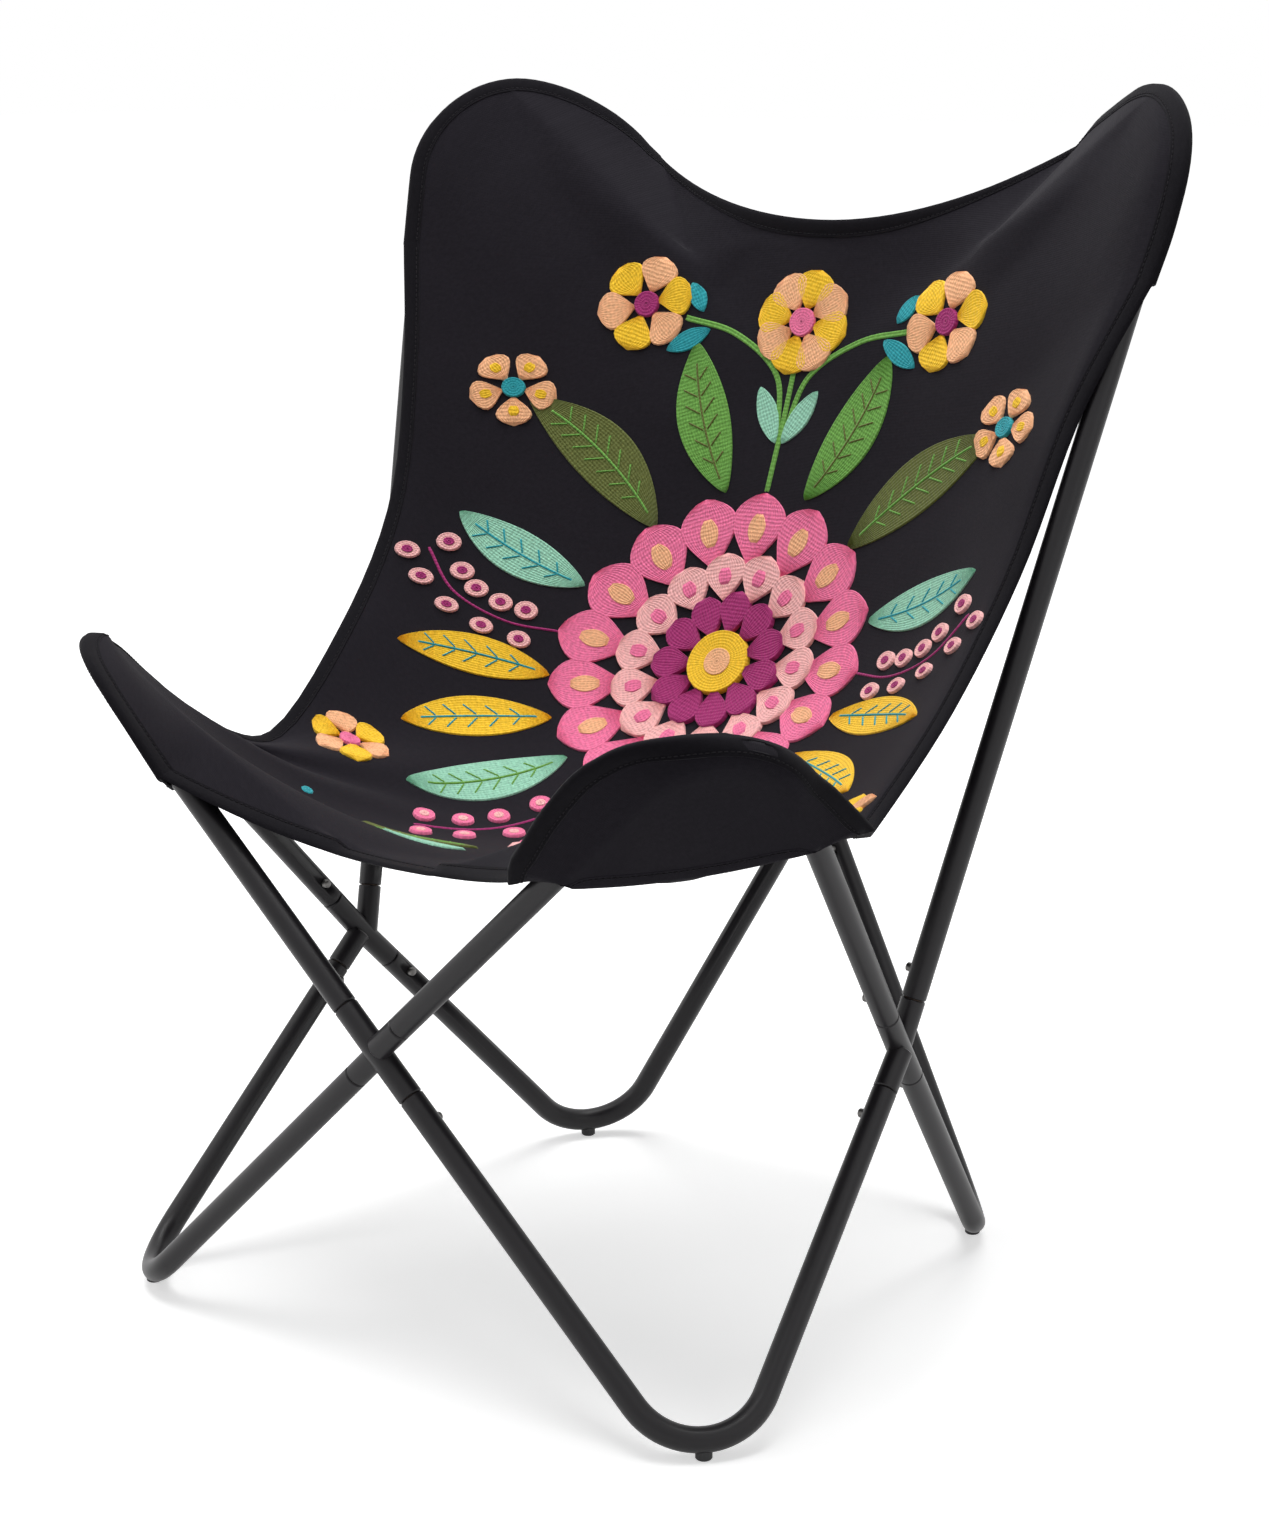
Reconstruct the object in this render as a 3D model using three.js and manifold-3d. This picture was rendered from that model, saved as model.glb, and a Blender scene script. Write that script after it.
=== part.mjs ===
// Butterfly sling chair: a knock-down frame of bent steel tubes and a canvas sling hung on its four horns.
// Millimetres, +Z up, front towards -Y, left towards -X. The origin is on the floor, in the middle of the plan.
import * as THREE from "three";
import { mergeVertices } from "three/addons/utils/BufferGeometryUtils.js";
import Module from "manifold-3d";

const wasm = await Module();
wasm.setup();

// Tube stock
const tubeDiameter = 19;
const tubeWall = 1.5;
const tubeSides = 12;
const bendSteps = 7;

// Frame layout: where the tube axes cross, and where the middle of each bend lies
const frontCrossY = -291;
const frontCrossZ = 255;
const sideCrossX = 271;
const sideCrossY = -10;
const sideCrossZ = 237;
const backCrossY = 286;
const backCrossZ = 343;
const frontFloorX = 274;
const frontFloorY = -261.5;
const backFloorX = 198.5;
const backFloorY = 225;
const frontHornX = 299;
const frontHornY = -269;
const frontHornZ = 513;
const backHornX = 319;
const backHornY = 263;
const backHornZ = 926.5;
const floorBendRadius = 55;
const frontHornBendRadius = 55;
const backHornBendRadius = 82.5;

// Cross connectors, their inner sleeves and the spring buttons
const throughArm = 42;
const stubArm = 35;
const stubShift = 4.5;
const upperStubSetback = 9;
const lowerStubSetback = -4;
const stubRoot = 8;
const stubBoreEnd = 1;
const jointGap = 0.6;
const sleeveWall = 1.2;
const sleeveInConnector = 13;
const sleeveInTube = 34;
const slidingClearance = 0.3;
const buttonDiameter = 7;
const buttonDome = 1.6;
const buttonProud = 4.7;
const buttonFromJoint = 21;
const buttonFlange = 1;
const buttonFlangeRim = 0.3;
const buttonSides = 10;

// Floor glides
const glideDiameter = 12.5;
const glideHeight = 5;
const glideSaddle = 2.6;
const glideChamfer = 1;
const glideSides = 16;

// Sling: canvas thickness, how the ears wrap the horns, and the run of its edges
const clothThickness = 2.2;
const clothClearance = 0.6;
const seamGap = 0.5;
const wrapCorner = 0.81;
const rimDrop = 4;
const rimSlope = 0.12;
const hemBand = 14;
const rimTopMargin = 14.5;
const frontEarLegReach = 108;
const frontEarLegMargin = 36;
const frontEarShoulder = 48;
const frontEarSideReach = 66;
const frontEarSideMargin = 30;
const backEarLegReach = 5;
const backEarLegMargin = 36;
const backEarShoulder = 30;
const backEarSideReach = 62;
const backEarSideMargin = 14;
const edgeInnerBack = 20;
const edgeInnerDrop = 60;
const neckInnerForward = 10;
const neckInnerDrop = 100;
const spineEndInset = 3;
const hemCentreY = -274;
const hemCentreZ = 391;
const neckCentreY = 280;
const neckCentreZ = 827;
const edgeLowX = 298;
const edgeLowY = -89;
const edgeLowZ = 417;
const edgeMidX = 300;
const edgeMidY = 7;
const edgeMidZ = 492;
const edgeHighX = 311;
const edgeHighY = 86;
const edgeHighZ = 588;
const edgeLegReach = 165;
const edgeLegOut = 6;
const seatFrontY = -163;
const seatFrontZ = 366;
const seatLowY = -33;
const seatLowZ = 352;
const lumbarY = 112;
const lumbarZ = 440;
const backPanelY = 219;
const backPanelZ = 640;
const slingHollow = 1;
const frontFold = 1.8;
const ridgeBow = 6;
const ridgeClearance = 3;
const pocketBow = 8;
const spineStart = 0.06;
const spineFrontCorner = 0.12;
const spineFrontSide = 0.29;
const spineBackSide = 0.72;
const spineBackCorner = 0.87;
const spineEnd = 0.95;

// Rows of the sling's net along each stretch of its edge, and steps across it
const hemRows = 4;
const earLegRows = 3;
const earArcRows = 8;
const earSideRows = 2;
const edgeRows = 8;
const neckRows = 4;
const acrossSteps = 5;
const pocketSteps = 3;

// Colours
const black = 0x262428;
const canvas = 0x232228;
const steel = 0x8b8680;

const tubeRadius = tubeDiameter / 2;
const boreRadius = tubeRadius - tubeWall;
const facetInset = Math.cos(Math.PI / tubeSides);
const sleeveRadius = boreRadius * facetInset - slidingClearance;
const sleeveBore = sleeveRadius - sleeveWall;
const buttonRadius = buttonDiameter / 2;
const holeRadius = (buttonRadius + slidingClearance) / Math.cos(Math.PI / buttonSides);
const floorTubeZ = glideHeight + tubeRadius;
const clothReach = tubeRadius + clothClearance + clothThickness / 2;

const vec = (x, y, z) => new THREE.Vector3(x, y, z);
const along = (from, direction, distance) => from.clone().addScaledVector(direction, distance);
const towards = (from, to) => to.clone().sub(from).normalize();
const mix = (a, b, t) => a.clone().lerp(b, t);

// Solids and booleans
function toSolid(geometry) {
  const bare = geometry.clone();
  bare.deleteAttribute("normal");
  bare.deleteAttribute("uv");
  const merged = mergeVertices(bare, 1e-4);
  return new wasm.Manifold(
    new wasm.Mesh({
      numProp: 3,
      vertProperties: new Float32Array(merged.attributes.position.array),
      triVerts: new Uint32Array(merged.index.array),
    }),
  );
}

function toGeometry(solid) {
  const mesh = solid.getMesh();
  const geometry = new THREE.BufferGeometry();
  geometry.setAttribute("position", new THREE.BufferAttribute(new Float32Array(mesh.vertProperties), 3));
  geometry.setIndex(new THREE.BufferAttribute(new Uint32Array(mesh.triVerts), 1));
  const flat = geometry.toNonIndexed();
  flat.computeVertexNormals();
  return flat;
}

// A path through given stations, each with its own tangent
class StationPath extends THREE.Curve {
  constructor(stations) {
    super();
    this.stations = stations;
  }
  station(t) {
    return this.stations[Math.round(t * (this.stations.length - 1))];
  }
  getPoint(t) {
    return this.station(t).point.clone();
  }
  getPointAt(t) {
    return this.getPoint(t);
  }
  getTangentAt(t) {
    return this.station(t).tangent.clone();
  }
}

function circlePoints(radius, sides) {
  return Array.from({ length: sides }, (_, i) => {
    const angle = (2 * Math.PI * i) / sides;
    return new THREE.Vector2(radius * Math.cos(angle), radius * Math.sin(angle));
  });
}

// A bar, or a tube where a bore is given, along stations
function sweep(stations, radius, bore, sides) {
  const section = new THREE.Shape(circlePoints(radius, sides));
  if (bore > 0) section.holes.push(new THREE.Path(circlePoints(bore, sides)));
  return new THREE.ExtrudeGeometry(section, {
    extrudePath: new StationPath(stations),
    steps: stations.length - 1,
  });
}

function straight(from, to) {
  const tangent = towards(from, to);
  return [from, to].map((point) => ({ point, tangent }));
}

// The four crossings. Each has a through tube and two stubs welded to its opposite faces.
// A stub's base lies off the crossing's centre: outwards by the first value, backwards by the second.
const crossings = {
  front: {
    centre: vec(0, frontCrossY, frontCrossZ),
    outward: vec(0, -1, 0),
    through: ["horn_front_left", "floor_front_right"],
    stubs: { horn_front_right: [stubShift, 0], floor_front_left: [-stubShift, 0] },
  },
  back: {
    centre: vec(0, backCrossY, backCrossZ),
    outward: vec(0, 1, 0),
    through: ["horn_back_right", "floor_back_left"],
    stubs: { horn_back_left: [stubShift, 0], floor_back_right: [-stubShift, 0] },
  },
  left: {
    centre: vec(-sideCrossX, sideCrossY, sideCrossZ),
    outward: vec(-1, 0, 0),
    through: ["horn_front_left", "floor_back_left"],
    stubs: { horn_back_left: [0, upperStubSetback], floor_front_left: [-stubShift, lowerStubSetback] },
  },
  right: {
    centre: vec(sideCrossX, sideCrossY, sideCrossZ),
    outward: vec(1, 0, 0),
    through: ["horn_front_right", "floor_back_right"],
    stubs: { horn_back_right: [-stubShift, upperStubSetback], floor_front_right: [stubShift, lowerStubSetback] },
  },
};

// The eight bent tubes: two straight legs and a bend, whose middle is given
const bends = {};
for (const [side, sign] of [["left", -1], ["right", 1]]) {
  bends[`floor_front_${side}`] = {
    ends: [side, "front"],
    middle: vec(sign * frontFloorX, frontFloorY, floorTubeZ),
    radius: floorBendRadius,
  };
  bends[`floor_back_${side}`] = {
    ends: [side, "back"],
    middle: vec(sign * backFloorX, backFloorY, floorTubeZ),
    radius: floorBendRadius,
  };
  bends[`horn_front_${side}`] = {
    ends: [side, "front"],
    middle: vec(sign * frontHornX, frontHornY, frontHornZ),
    radius: frontHornBendRadius,
  };
  bends[`horn_back_${side}`] = {
    ends: [side, "back"],
    middle: vec(sign * backHornX, backHornY, backHornZ),
    radius: backHornBendRadius,
  };
}

function armOf(crossingName, bendName) {
  const crossing = crossings[crossingName];
  const shift = crossing.stubs[bendName];
  if (!shift) return { base: crossing.centre.clone(), length: throughArm };
  const base = along(crossing.centre, crossing.outward, shift[0]);
  base.y += shift[1];
  return { base, length: stubArm };
}

// Legs, bend centre and plane of one bent tube whose straight legs would meet at the apex
function legsFrom(apex, bend, arms) {
  const legs = arms.map((arm) => towards(apex, arm.base));
  const half = legs[0].angleTo(legs[1]) / 2;
  const inwards = legs[0].clone().add(legs[1]).normalize();
  const centre = along(apex, inwards, bend.radius / Math.sin(half));
  const tangentLength = bend.radius / Math.tan(half);
  const starts = legs.map((leg) => along(apex, leg, tangentLength));
  return { legs, half, inwards, centre, starts, sweepAngle: Math.PI - 2 * half };
}

// The apex is moved until the bend's middle is where it should be
function layOut(name) {
  const bend = bends[name];
  const arms = bend.ends.map((end) => armOf(end, name));
  const apex = bend.middle.clone();
  const foot = mix(arms[0].base, arms[1].base, 0.5);
  apex.addScaledVector(towards(foot, bend.middle), bend.radius);
  let shape = legsFrom(apex, bend, arms);
  for (let i = 0; i < 80; i++) {
    const reached = along(shape.centre, shape.inwards, -bend.radius);
    apex.add(bend.middle.clone().sub(reached));
    shape = legsFrom(apex, bend, arms);
  }
  return { ...bend, ...shape, name, arms };
}

// A point of the bend's axis, at a fraction of its turn from the first leg to the second
function bendPoint(laid, t) {
  const from = laid.starts[0].clone().sub(laid.centre);
  const to = laid.starts[1].clone().sub(laid.centre);
  const angle = laid.sweepAngle;
  const arm = from
    .multiplyScalar(Math.sin((1 - t) * angle) / Math.sin(angle))
    .addScaledVector(to, Math.sin(t * angle) / Math.sin(angle));
  return laid.centre.clone().add(arm);
}

function lowestPoint(laid) {
  const samples = 200;
  let lowest = bendPoint(laid, 0);
  for (let i = 1; i <= samples; i++) {
    const point = bendPoint(laid, i / samples);
    if (point.z < lowest.z) lowest = point;
  }
  return lowest;
}

// Floor bends are lowered until the tube rests on its glide
for (const name of Object.keys(bends).filter((key) => key.startsWith("floor"))) {
  for (let i = 0; i < 20; i++) bends[name].middle.z += floorTubeZ - lowestPoint(layOut(name)).z;
}

const laidOut = Object.fromEntries(Object.keys(bends).map((name) => [name, layOut(name)]));

function bendStations(laid) {
  const [first, second] = laid.arms.map((arm, i) => along(arm.base, laid.legs[i], -(arm.length + jointGap)));
  const stations = [{ point: first, tangent: laid.legs[0].clone().negate() }];
  const axis = laid.legs[0].clone().cross(laid.legs[1]).normalize();
  for (let i = 0; i <= bendSteps; i++) {
    const point = bendPoint(laid, i / bendSteps);
    const tangent = laid.legs[0].clone().negate();
    tangent.applyAxisAngle(axis, -(laid.sweepAngle * i) / bendSteps);
    stations.push({ point, tangent });
  }
  stations.push({ point: second, tangent: laid.legs[1].clone() });
  return stations;
}

// Where each sleeve and button sits: on a leg, with the button facing into the chair
function jointFrame(laid, i) {
  const crossing = crossings[laid.ends[i]];
  const axis = laid.legs[i].clone().negate();
  const inward = crossing.outward.clone().negate();
  const facing = inward.addScaledVector(axis, -inward.dot(axis)).normalize();
  const joint = along(laid.arms[i].base, axis, laid.arms[i].length);
  const basis = new THREE.Matrix4().makeBasis(facing, axis.clone().cross(facing), axis);
  return { joint, axis, facing, turn: new THREE.Quaternion().setFromRotationMatrix(basis) };
}

const holeDistance = jointGap + buttonFromJoint;

function buttonHole(frame) {
  const middle = along(frame.joint, frame.axis, holeDistance);
  const start = along(middle, frame.facing, sleeveBore / 2);
  const end = along(middle, frame.facing, tubeRadius * 2);
  return toSolid(sweep(straight(start, end), holeRadius, 0, buttonSides));
}

const chair = new THREE.Group();
const frame = new THREE.Group();
const sling = new THREE.Group();
chair.add(frame, sling);

const coated = new THREE.MeshStandardMaterial({ color: black, roughness: 0.45, metalness: 0.3 });
const bareSteel = new THREE.MeshStandardMaterial({ color: steel, roughness: 0.35, metalness: 0.9 });
const plastic = new THREE.MeshStandardMaterial({ color: 0x1c1b1d, roughness: 0.6, metalness: 0 });
const cloth = new THREE.MeshStandardMaterial({ color: canvas, roughness: 0.95, metalness: 0 });

function place(group, name, geometry, material) {
  const mesh = new THREE.Mesh(geometry, material);
  mesh.name = name;
  group.add(mesh);
  return mesh;
}

// Bent tubes with a button hole near each end
for (const laid of Object.values(laidOut)) {
  let tube = toSolid(sweep(bendStations(laid), tubeRadius, boreRadius, tubeSides));
  for (const i of [0, 1]) tube = tube.subtract(buttonHole(jointFrame(laid, i)));
  place(frame, `${laid.name}_tube`, toGeometry(tube), coated);
}

// Cross connectors: the stubs are welded into the through tube's wall, keep their square-cut ends,
// and are bored as deep as their sleeves need
for (const [name, crossing] of Object.entries(crossings)) {
  const armEnd = (bendName) => {
    const laid = laidOut[bendName];
    return jointFrame(laid, laid.ends.indexOf(name));
  };
  const ends = crossing.through.map(armEnd);
  const middle = { point: crossing.centre, tangent: ends[1].axis.clone().sub(ends[0].axis).normalize() };
  const stations = [
    { point: ends[0].joint, tangent: ends[0].axis.clone().negate() },
    middle,
    { point: ends[1].joint, tangent: ends[1].axis.clone() },
  ];
  let body = toSolid(sweep(stations, tubeRadius, boreRadius, tubeSides));
  const core = toSolid(sweep(stations, tubeRadius - tubeWall / 2, 0, tubeSides));
  for (const stub of Object.keys(crossing.stubs)) {
    const end = armEnd(stub);
    const { base } = armOf(name, stub);
    const root = along(base, end.axis, -stubRoot);
    const bar = toSolid(sweep(straight(root, end.joint), tubeRadius, 0, tubeSides));
    const boreEnd = along(end.joint, end.axis, -(sleeveInConnector + stubBoreEnd));
    const boreMouth = along(end.joint, end.axis, tubeWall);
    const bore = toSolid(sweep(straight(boreEnd, boreMouth), boreRadius, 0, tubeSides));
    const pieces = bar.subtract(core).subtract(bore).decompose();
    body = body.add(pieces.sort((a, b) => b.volume() - a.volume())[0]);
  }
  place(frame, `cross_${name}`, toGeometry(body), coated);
}

// Inner sleeves and spring buttons, one of each at every joint
const sleeveLength = sleeveInConnector + jointGap + sleeveInTube;
const sleeveStart = vec(0, 0, -sleeveInConnector);
const sleeveEnd = vec(0, 0, sleeveLength - sleeveInConnector);
const localFrame = { joint: vec(0, 0, 0), axis: vec(0, 0, 1), facing: vec(1, 0, 0) };
const sleeveGeometry = toGeometry(
  toSolid(sweep(straight(sleeveStart, sleeveEnd), sleeveRadius, sleeveBore, tubeSides)).subtract(
    buttonHole(localFrame),
  ),
);
const flangeRadius = holeRadius + buttonFlangeRim;
const flangeTop = Math.sqrt((sleeveBore * facetInset - slidingClearance) ** 2 - flangeRadius ** 2);
const buttonTop = tubeRadius + buttonProud;
const buttonProfile = [
  [0, flangeTop - buttonFlange],
  [flangeRadius, flangeTop - buttonFlange],
  [flangeRadius, flangeTop],
  [buttonRadius, flangeTop],
  [buttonRadius, buttonTop - buttonDome],
  [buttonRadius * 0.72, buttonTop - buttonDome * 0.32],
  [0, buttonTop],
].map(([r, h]) => new THREE.Vector2(r, h));
const buttonGeometry = new THREE.LatheGeometry(buttonProfile, buttonSides);
buttonGeometry.rotateZ(-Math.PI / 2);
for (const laid of Object.values(laidOut)) {
  laid.ends.forEach((end, i) => {
    const at = jointFrame(laid, i);
    const sleeve = place(frame, `${laid.name}_sleeve_${end}`, sleeveGeometry, bareSteel);
    sleeve.position.copy(at.joint);
    sleeve.quaternion.copy(at.turn);
    const button = place(frame, `${laid.name}_button_${end}`, buttonGeometry, bareSteel);
    button.position.copy(along(at.joint, at.axis, holeDistance));
    button.quaternion.copy(at.turn);
  });
}

// Glides under the four floor bends, each with a saddle that takes the tube
const glideRadius = glideDiameter / 2;
const glideTop = glideHeight + glideSaddle;
const glideProfile = [
  [0, 0],
  [glideRadius - glideChamfer, 0],
  [glideRadius, glideChamfer],
  [glideRadius, glideTop],
  [0, glideTop],
].map(([r, h]) => new THREE.Vector2(r, h));
for (const laid of Object.values(laidOut).filter(({ name }) => name.startsWith("floor"))) {
  const foot = lowestPoint(laid);
  const blank = new THREE.LatheGeometry(glideProfile, glideSides);
  blank.rotateX(Math.PI / 2);
  blank.translate(foot.x, foot.y, 0);
  const seat = toSolid(sweep(bendStations(laid), tubeRadius + slidingClearance, 0, tubeSides));
  const pieces = toSolid(blank).subtract(seat).decompose();
  const lowest = pieces.sort((a, b) => b.volume() - a.volume())[0];
  place(frame, laid.name.replace("floor", "glide"), toGeometry(lowest), plastic);
}

// A horn as the ears see it: distance along the tube's axis from the start of the bend on the side leg.
// Gives the axis point and the direction that points away from the horn's inside, in the horn's plane.
function hornStation(laid, distance) {
  const bendLength = laid.radius * laid.sweepAngle;
  if (distance < 0 || distance > bendLength) {
    const i = distance < 0 ? 0 : 1;
    const over = distance < 0 ? -distance : distance - bendLength;
    const point = along(laid.starts[i], laid.legs[i], over);
    return { point, out: towards(laid.centre, laid.starts[i]) };
  }
  const point = bendPoint(laid, distance / bendLength);
  return { point, out: towards(laid.centre, point) };
}

function facingIn(laid) {
  const normal = laid.legs[0].clone().cross(laid.legs[1]).normalize();
  const seat = vec(0, seatLowY, laid.centre.z);
  return normal.dot(seat.sub(laid.centre)) < 0 ? normal.negate() : normal;
}

// How far each ear runs down the two legs, and how far its rim stands off the tube along the way
const ears = {
  front: {
    sideReach: frontEarSideReach,
    legReach: frontEarLegReach,
    legRows: earLegRows,
    margins: [frontEarSideMargin, rimTopMargin, frontEarShoulder, frontEarLegMargin],
  },
  back: {
    sideReach: backEarSideReach,
    legReach: backEarLegReach,
    legRows: 1,
    margins: [backEarSideMargin, rimTopMargin, backEarShoulder, backEarLegMargin],
  },
};

// Stations of an ear's rim from its side corner round the bend to its corner on the other leg
function rimStations(laid, ear) {
  const bendLength = laid.radius * laid.sweepAngle;
  const [sideMargin, topMargin, shoulder, legMargin] = ear.margins;
  const marginAt = (distance) => {
    const top = bendLength / 2;
    if (distance < top) return topMargin + (sideMargin - topMargin) * ((top - distance) / (top + ear.sideReach)) ** 1.5;
    if (distance < bendLength) {
      return topMargin + (shoulder - topMargin) * THREE.MathUtils.smoothstep(distance, top, bendLength);
    }
    return shoulder + ((legMargin - shoulder) * (distance - bendLength)) / ear.legReach;
  };
  const distances = [];
  for (let i = earSideRows; i > 0; i--) distances.push((-ear.sideReach * i) / earSideRows);
  for (let i = 0; i <= earArcRows; i++) distances.push((bendLength * i) / earArcRows);
  for (let i = 1; i <= ear.legRows; i++) distances.push(bendLength + (ear.legReach * i) / ear.legRows);
  return distances.map((distance) => ({ ...hornStation(laid, distance), margin: marginAt(distance) }));
}

// Cloth wrapped over the tube: where it lies on the tube, at the shoulder and at the rim.
// Two sheets meet at the rim from the horn's two faces, so each stays half the seam's gap off the horn's plane.
function wrap(station, normal, face) {
  const corner = clothReach * wrapCorner;
  const flat = Math.max(0, station.margin - corner - rimDrop);
  const shoulder = { out: corner + flat / 2, up: corner - flat * rimSlope };
  const run = station.margin - shoulder.out;
  const rimUp = (seamGap + (clothThickness * run) / Math.hypot(run, shoulder.up)) / 2;
  const at = (out, up) => along(along(station.point, station.out, out), normal, face * up);
  return [at(0, clothReach), at(shoulder.out, shoulder.up), at(station.margin, rimUp)];
}

// The tight line that runs straight from the tip of a front horn to the middle of the front hem.
// The cloth bridges along it, clear of the leg, and hangs over from it to the edge.
function liftRidge(rows, first, last, inward) {
  const low = rows[first][0].clone();
  const high = rows[last][0].clone();
  for (let i = first + 1; i < last; i++) {
    const t = (rows[i][0].x - low.x) / (high.x - low.x);
    const ridge = mix(low, high, t);
    ridge.z += ridgeBow * 4 * t * (1 - t);
    const onTube = rows[i][0];
    const halfway = mix(ridge, rows[i][2], 0.5);
    const height = halfway.clone().sub(onTube).dot(inward);
    rows[i][0] = ridge;
    rows[i][1] = height > ridgeClearance ? halfway : along(halfway, inward, ridgeClearance - height);
  }
}

// One half of the sling's edge, from the middle of the front hem to the middle of the neckline, on one side.
// Each row is the three points of the edge band, from the inside out.
function edgeRowsOf(side) {
  const sign = side === "left" ? -1 : 1;
  const front = laidOut[`horn_front_${side}`];
  const back = laidOut[`horn_back_${side}`];
  const frontRim = rimStations(front, ears.front).reverse();
  const backRim = rimStations(back, ears.back);
  const frontIn = facingIn(front);
  const backIn = facingIn(back);
  const frontBand = frontRim.map((station) => wrap(station, frontIn, 1));
  const backBand = backRim.map((station) => wrap(station, backIn, 1));

  const free = (edge, inner) => {
    const direction = towards(edge, inner);
    return [along(edge, direction, hemBand), along(edge, direction, hemBand / 2), edge];
  };
  const hemStart = vec(0, hemCentreY, hemCentreZ);
  const hemEnd = frontBand[0][2];
  const hem = new THREE.QuadraticBezierCurve3(
    hemStart,
    vec(sign * Math.abs(hemEnd.x) * 0.55, hemCentreY, hemCentreZ),
    hemEnd,
  );
  const neckEnd = backBand[backBand.length - 1][2];
  const neckStart = vec(0, neckCentreY, neckCentreZ);
  const neck = new THREE.QuadraticBezierCurve3(
    neckEnd,
    vec(sign * Math.abs(neckEnd.x) * 0.5, neckCentreY, neckCentreZ),
    neckStart,
  );
  const onLeg = hornStation(back, -edgeLegReach);
  const edge = new THREE.CatmullRomCurve3(
    [
      frontBand[frontBand.length - 1][2],
      vec(sign * edgeLowX, edgeLowY, edgeLowZ),
      vec(sign * edgeMidX, edgeMidY, edgeMidZ),
      vec(sign * edgeHighX, edgeHighY, edgeHighZ),
      along(along(onLeg.point, onLeg.out, edgeLegOut), backIn, clothReach + 2 * clothClearance),
      backBand[0][2],
    ],
    false,
    "centripetal",
  );
  const middle = vec(0, seatLowY, (hemCentreZ + seatLowZ) / 2);
  const rows = [];
  for (let i = 0; i < hemRows; i++) {
    const t = i / hemRows;
    const point = hem.getPoint(t);
    const plain = free(point, vec(point.x, middle.y, point.z));
    const last = frontBand[0];
    rows.push(plain.map((p, k) => (k === 2 ? p : p.lerp(last[k].clone().sub(last[2]).add(point), t ** 3))));
  }
  rows.push(...frontBand);
  liftRidge(rows, 1, hemRows + earLegRows + earArcRows / 2, frontIn);
  for (let i = 1; i < edgeRows; i++) {
    const t = i / edgeRows;
    const point = edge.getPoint(t);
    const plain = free(point, vec(0, point.y + edgeInnerBack, point.z - edgeInnerDrop));
    const near = t < 0.5 ? frontBand[frontBand.length - 1] : backBand[0];
    const pull = Math.abs(2 * t - 1) ** 3;
    rows.push(plain.map((p, k) => (k === 2 ? p : p.lerp(near[k].clone().sub(near[2]).add(point), pull))));
  }
  rows.push(...backBand);
  for (let i = 1; i <= neckRows; i++) {
    const t = i / neckRows;
    const point = neck.getPoint(t);
    const inner = vec(point.x * 0.9, point.y - neckInnerForward, point.z - neckInnerDrop);
    const plain = free(point, inner);
    const last = backBand[backBand.length - 1];
    const pull = (1 - t) ** 3;
    rows.push(plain.map((p, k) => (k === 2 ? p : p.lerp(last[k].clone().sub(last[2]).add(point), pull))));
  }
  return rows;
}

const spine = new THREE.CatmullRomCurve3(
  [
    vec(0, hemCentreY + hemBand, hemCentreZ - spineEndInset),
    vec(0, seatFrontY, seatFrontZ),
    vec(0, seatLowY, seatLowZ),
    vec(0, lumbarY, lumbarZ),
    vec(0, backPanelY, backPanelZ),
    vec(0, neckCentreY - spineEndInset, neckCentreZ - hemBand),
  ],
  false,
  "centripetal",
);

// How far along the spine each row starts, so that the rows of the ears fan out from the seat and the back
function spineShare(row) {
  const frontEar = earLegRows + earArcRows + earSideRows;
  const backEar = earSideRows + earArcRows + 1;
  const stretches = [
    [hemRows, spineStart, spineFrontCorner],
    [frontEar, spineFrontCorner, spineFrontSide],
    [edgeRows, spineFrontSide, spineBackSide],
    [backEar, spineBackSide, spineBackCorner],
    [neckRows, spineBackCorner, spineEnd],
  ];
  let left = row;
  for (const [rows, from, to] of stretches) {
    if (left <= rows) return from + ((to - from) * left) / rows;
    left -= rows;
  }
  return spineEnd;
}

// The net: rows from the left edge across the spine to the right edge, all with the same number of points.
// The first row runs down the middle of the front and the last up the middle of the neckline, both doubled.
function slingNet() {
  const halves = ["left", "right"].map(edgeRowsOf);
  const count = halves[0].length;
  return halves[0].map((_, i) => {
    const t = i / (count - 1);
    const root = spine.getPointAt(spineShare(i));
    const hollow = 1 + slingHollow * Math.sin(Math.PI * t);
    const rise = hollow + frontFold * Math.sin(Math.PI * Math.min(1, t / 0.55)) ** 2;
    const reach = (band) => {
      const run = [];
      for (let k = 1; k <= acrossSteps; k++) {
        const u = k / acrossSteps;
        const point = mix(root, band[0], u ** hollow);
        point.x = root.x + (band[0].x - root.x) * u;
        point.z = root.z + (band[0].z - root.z) * u ** rise;
        run.push(point);
      }
      return [...run, band[1].clone(), band[2].clone()];
    };
    const [left, right] = halves.map((half) => reach(half[i]));
    return [...left.reverse(), root, ...right];
  });
}

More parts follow.
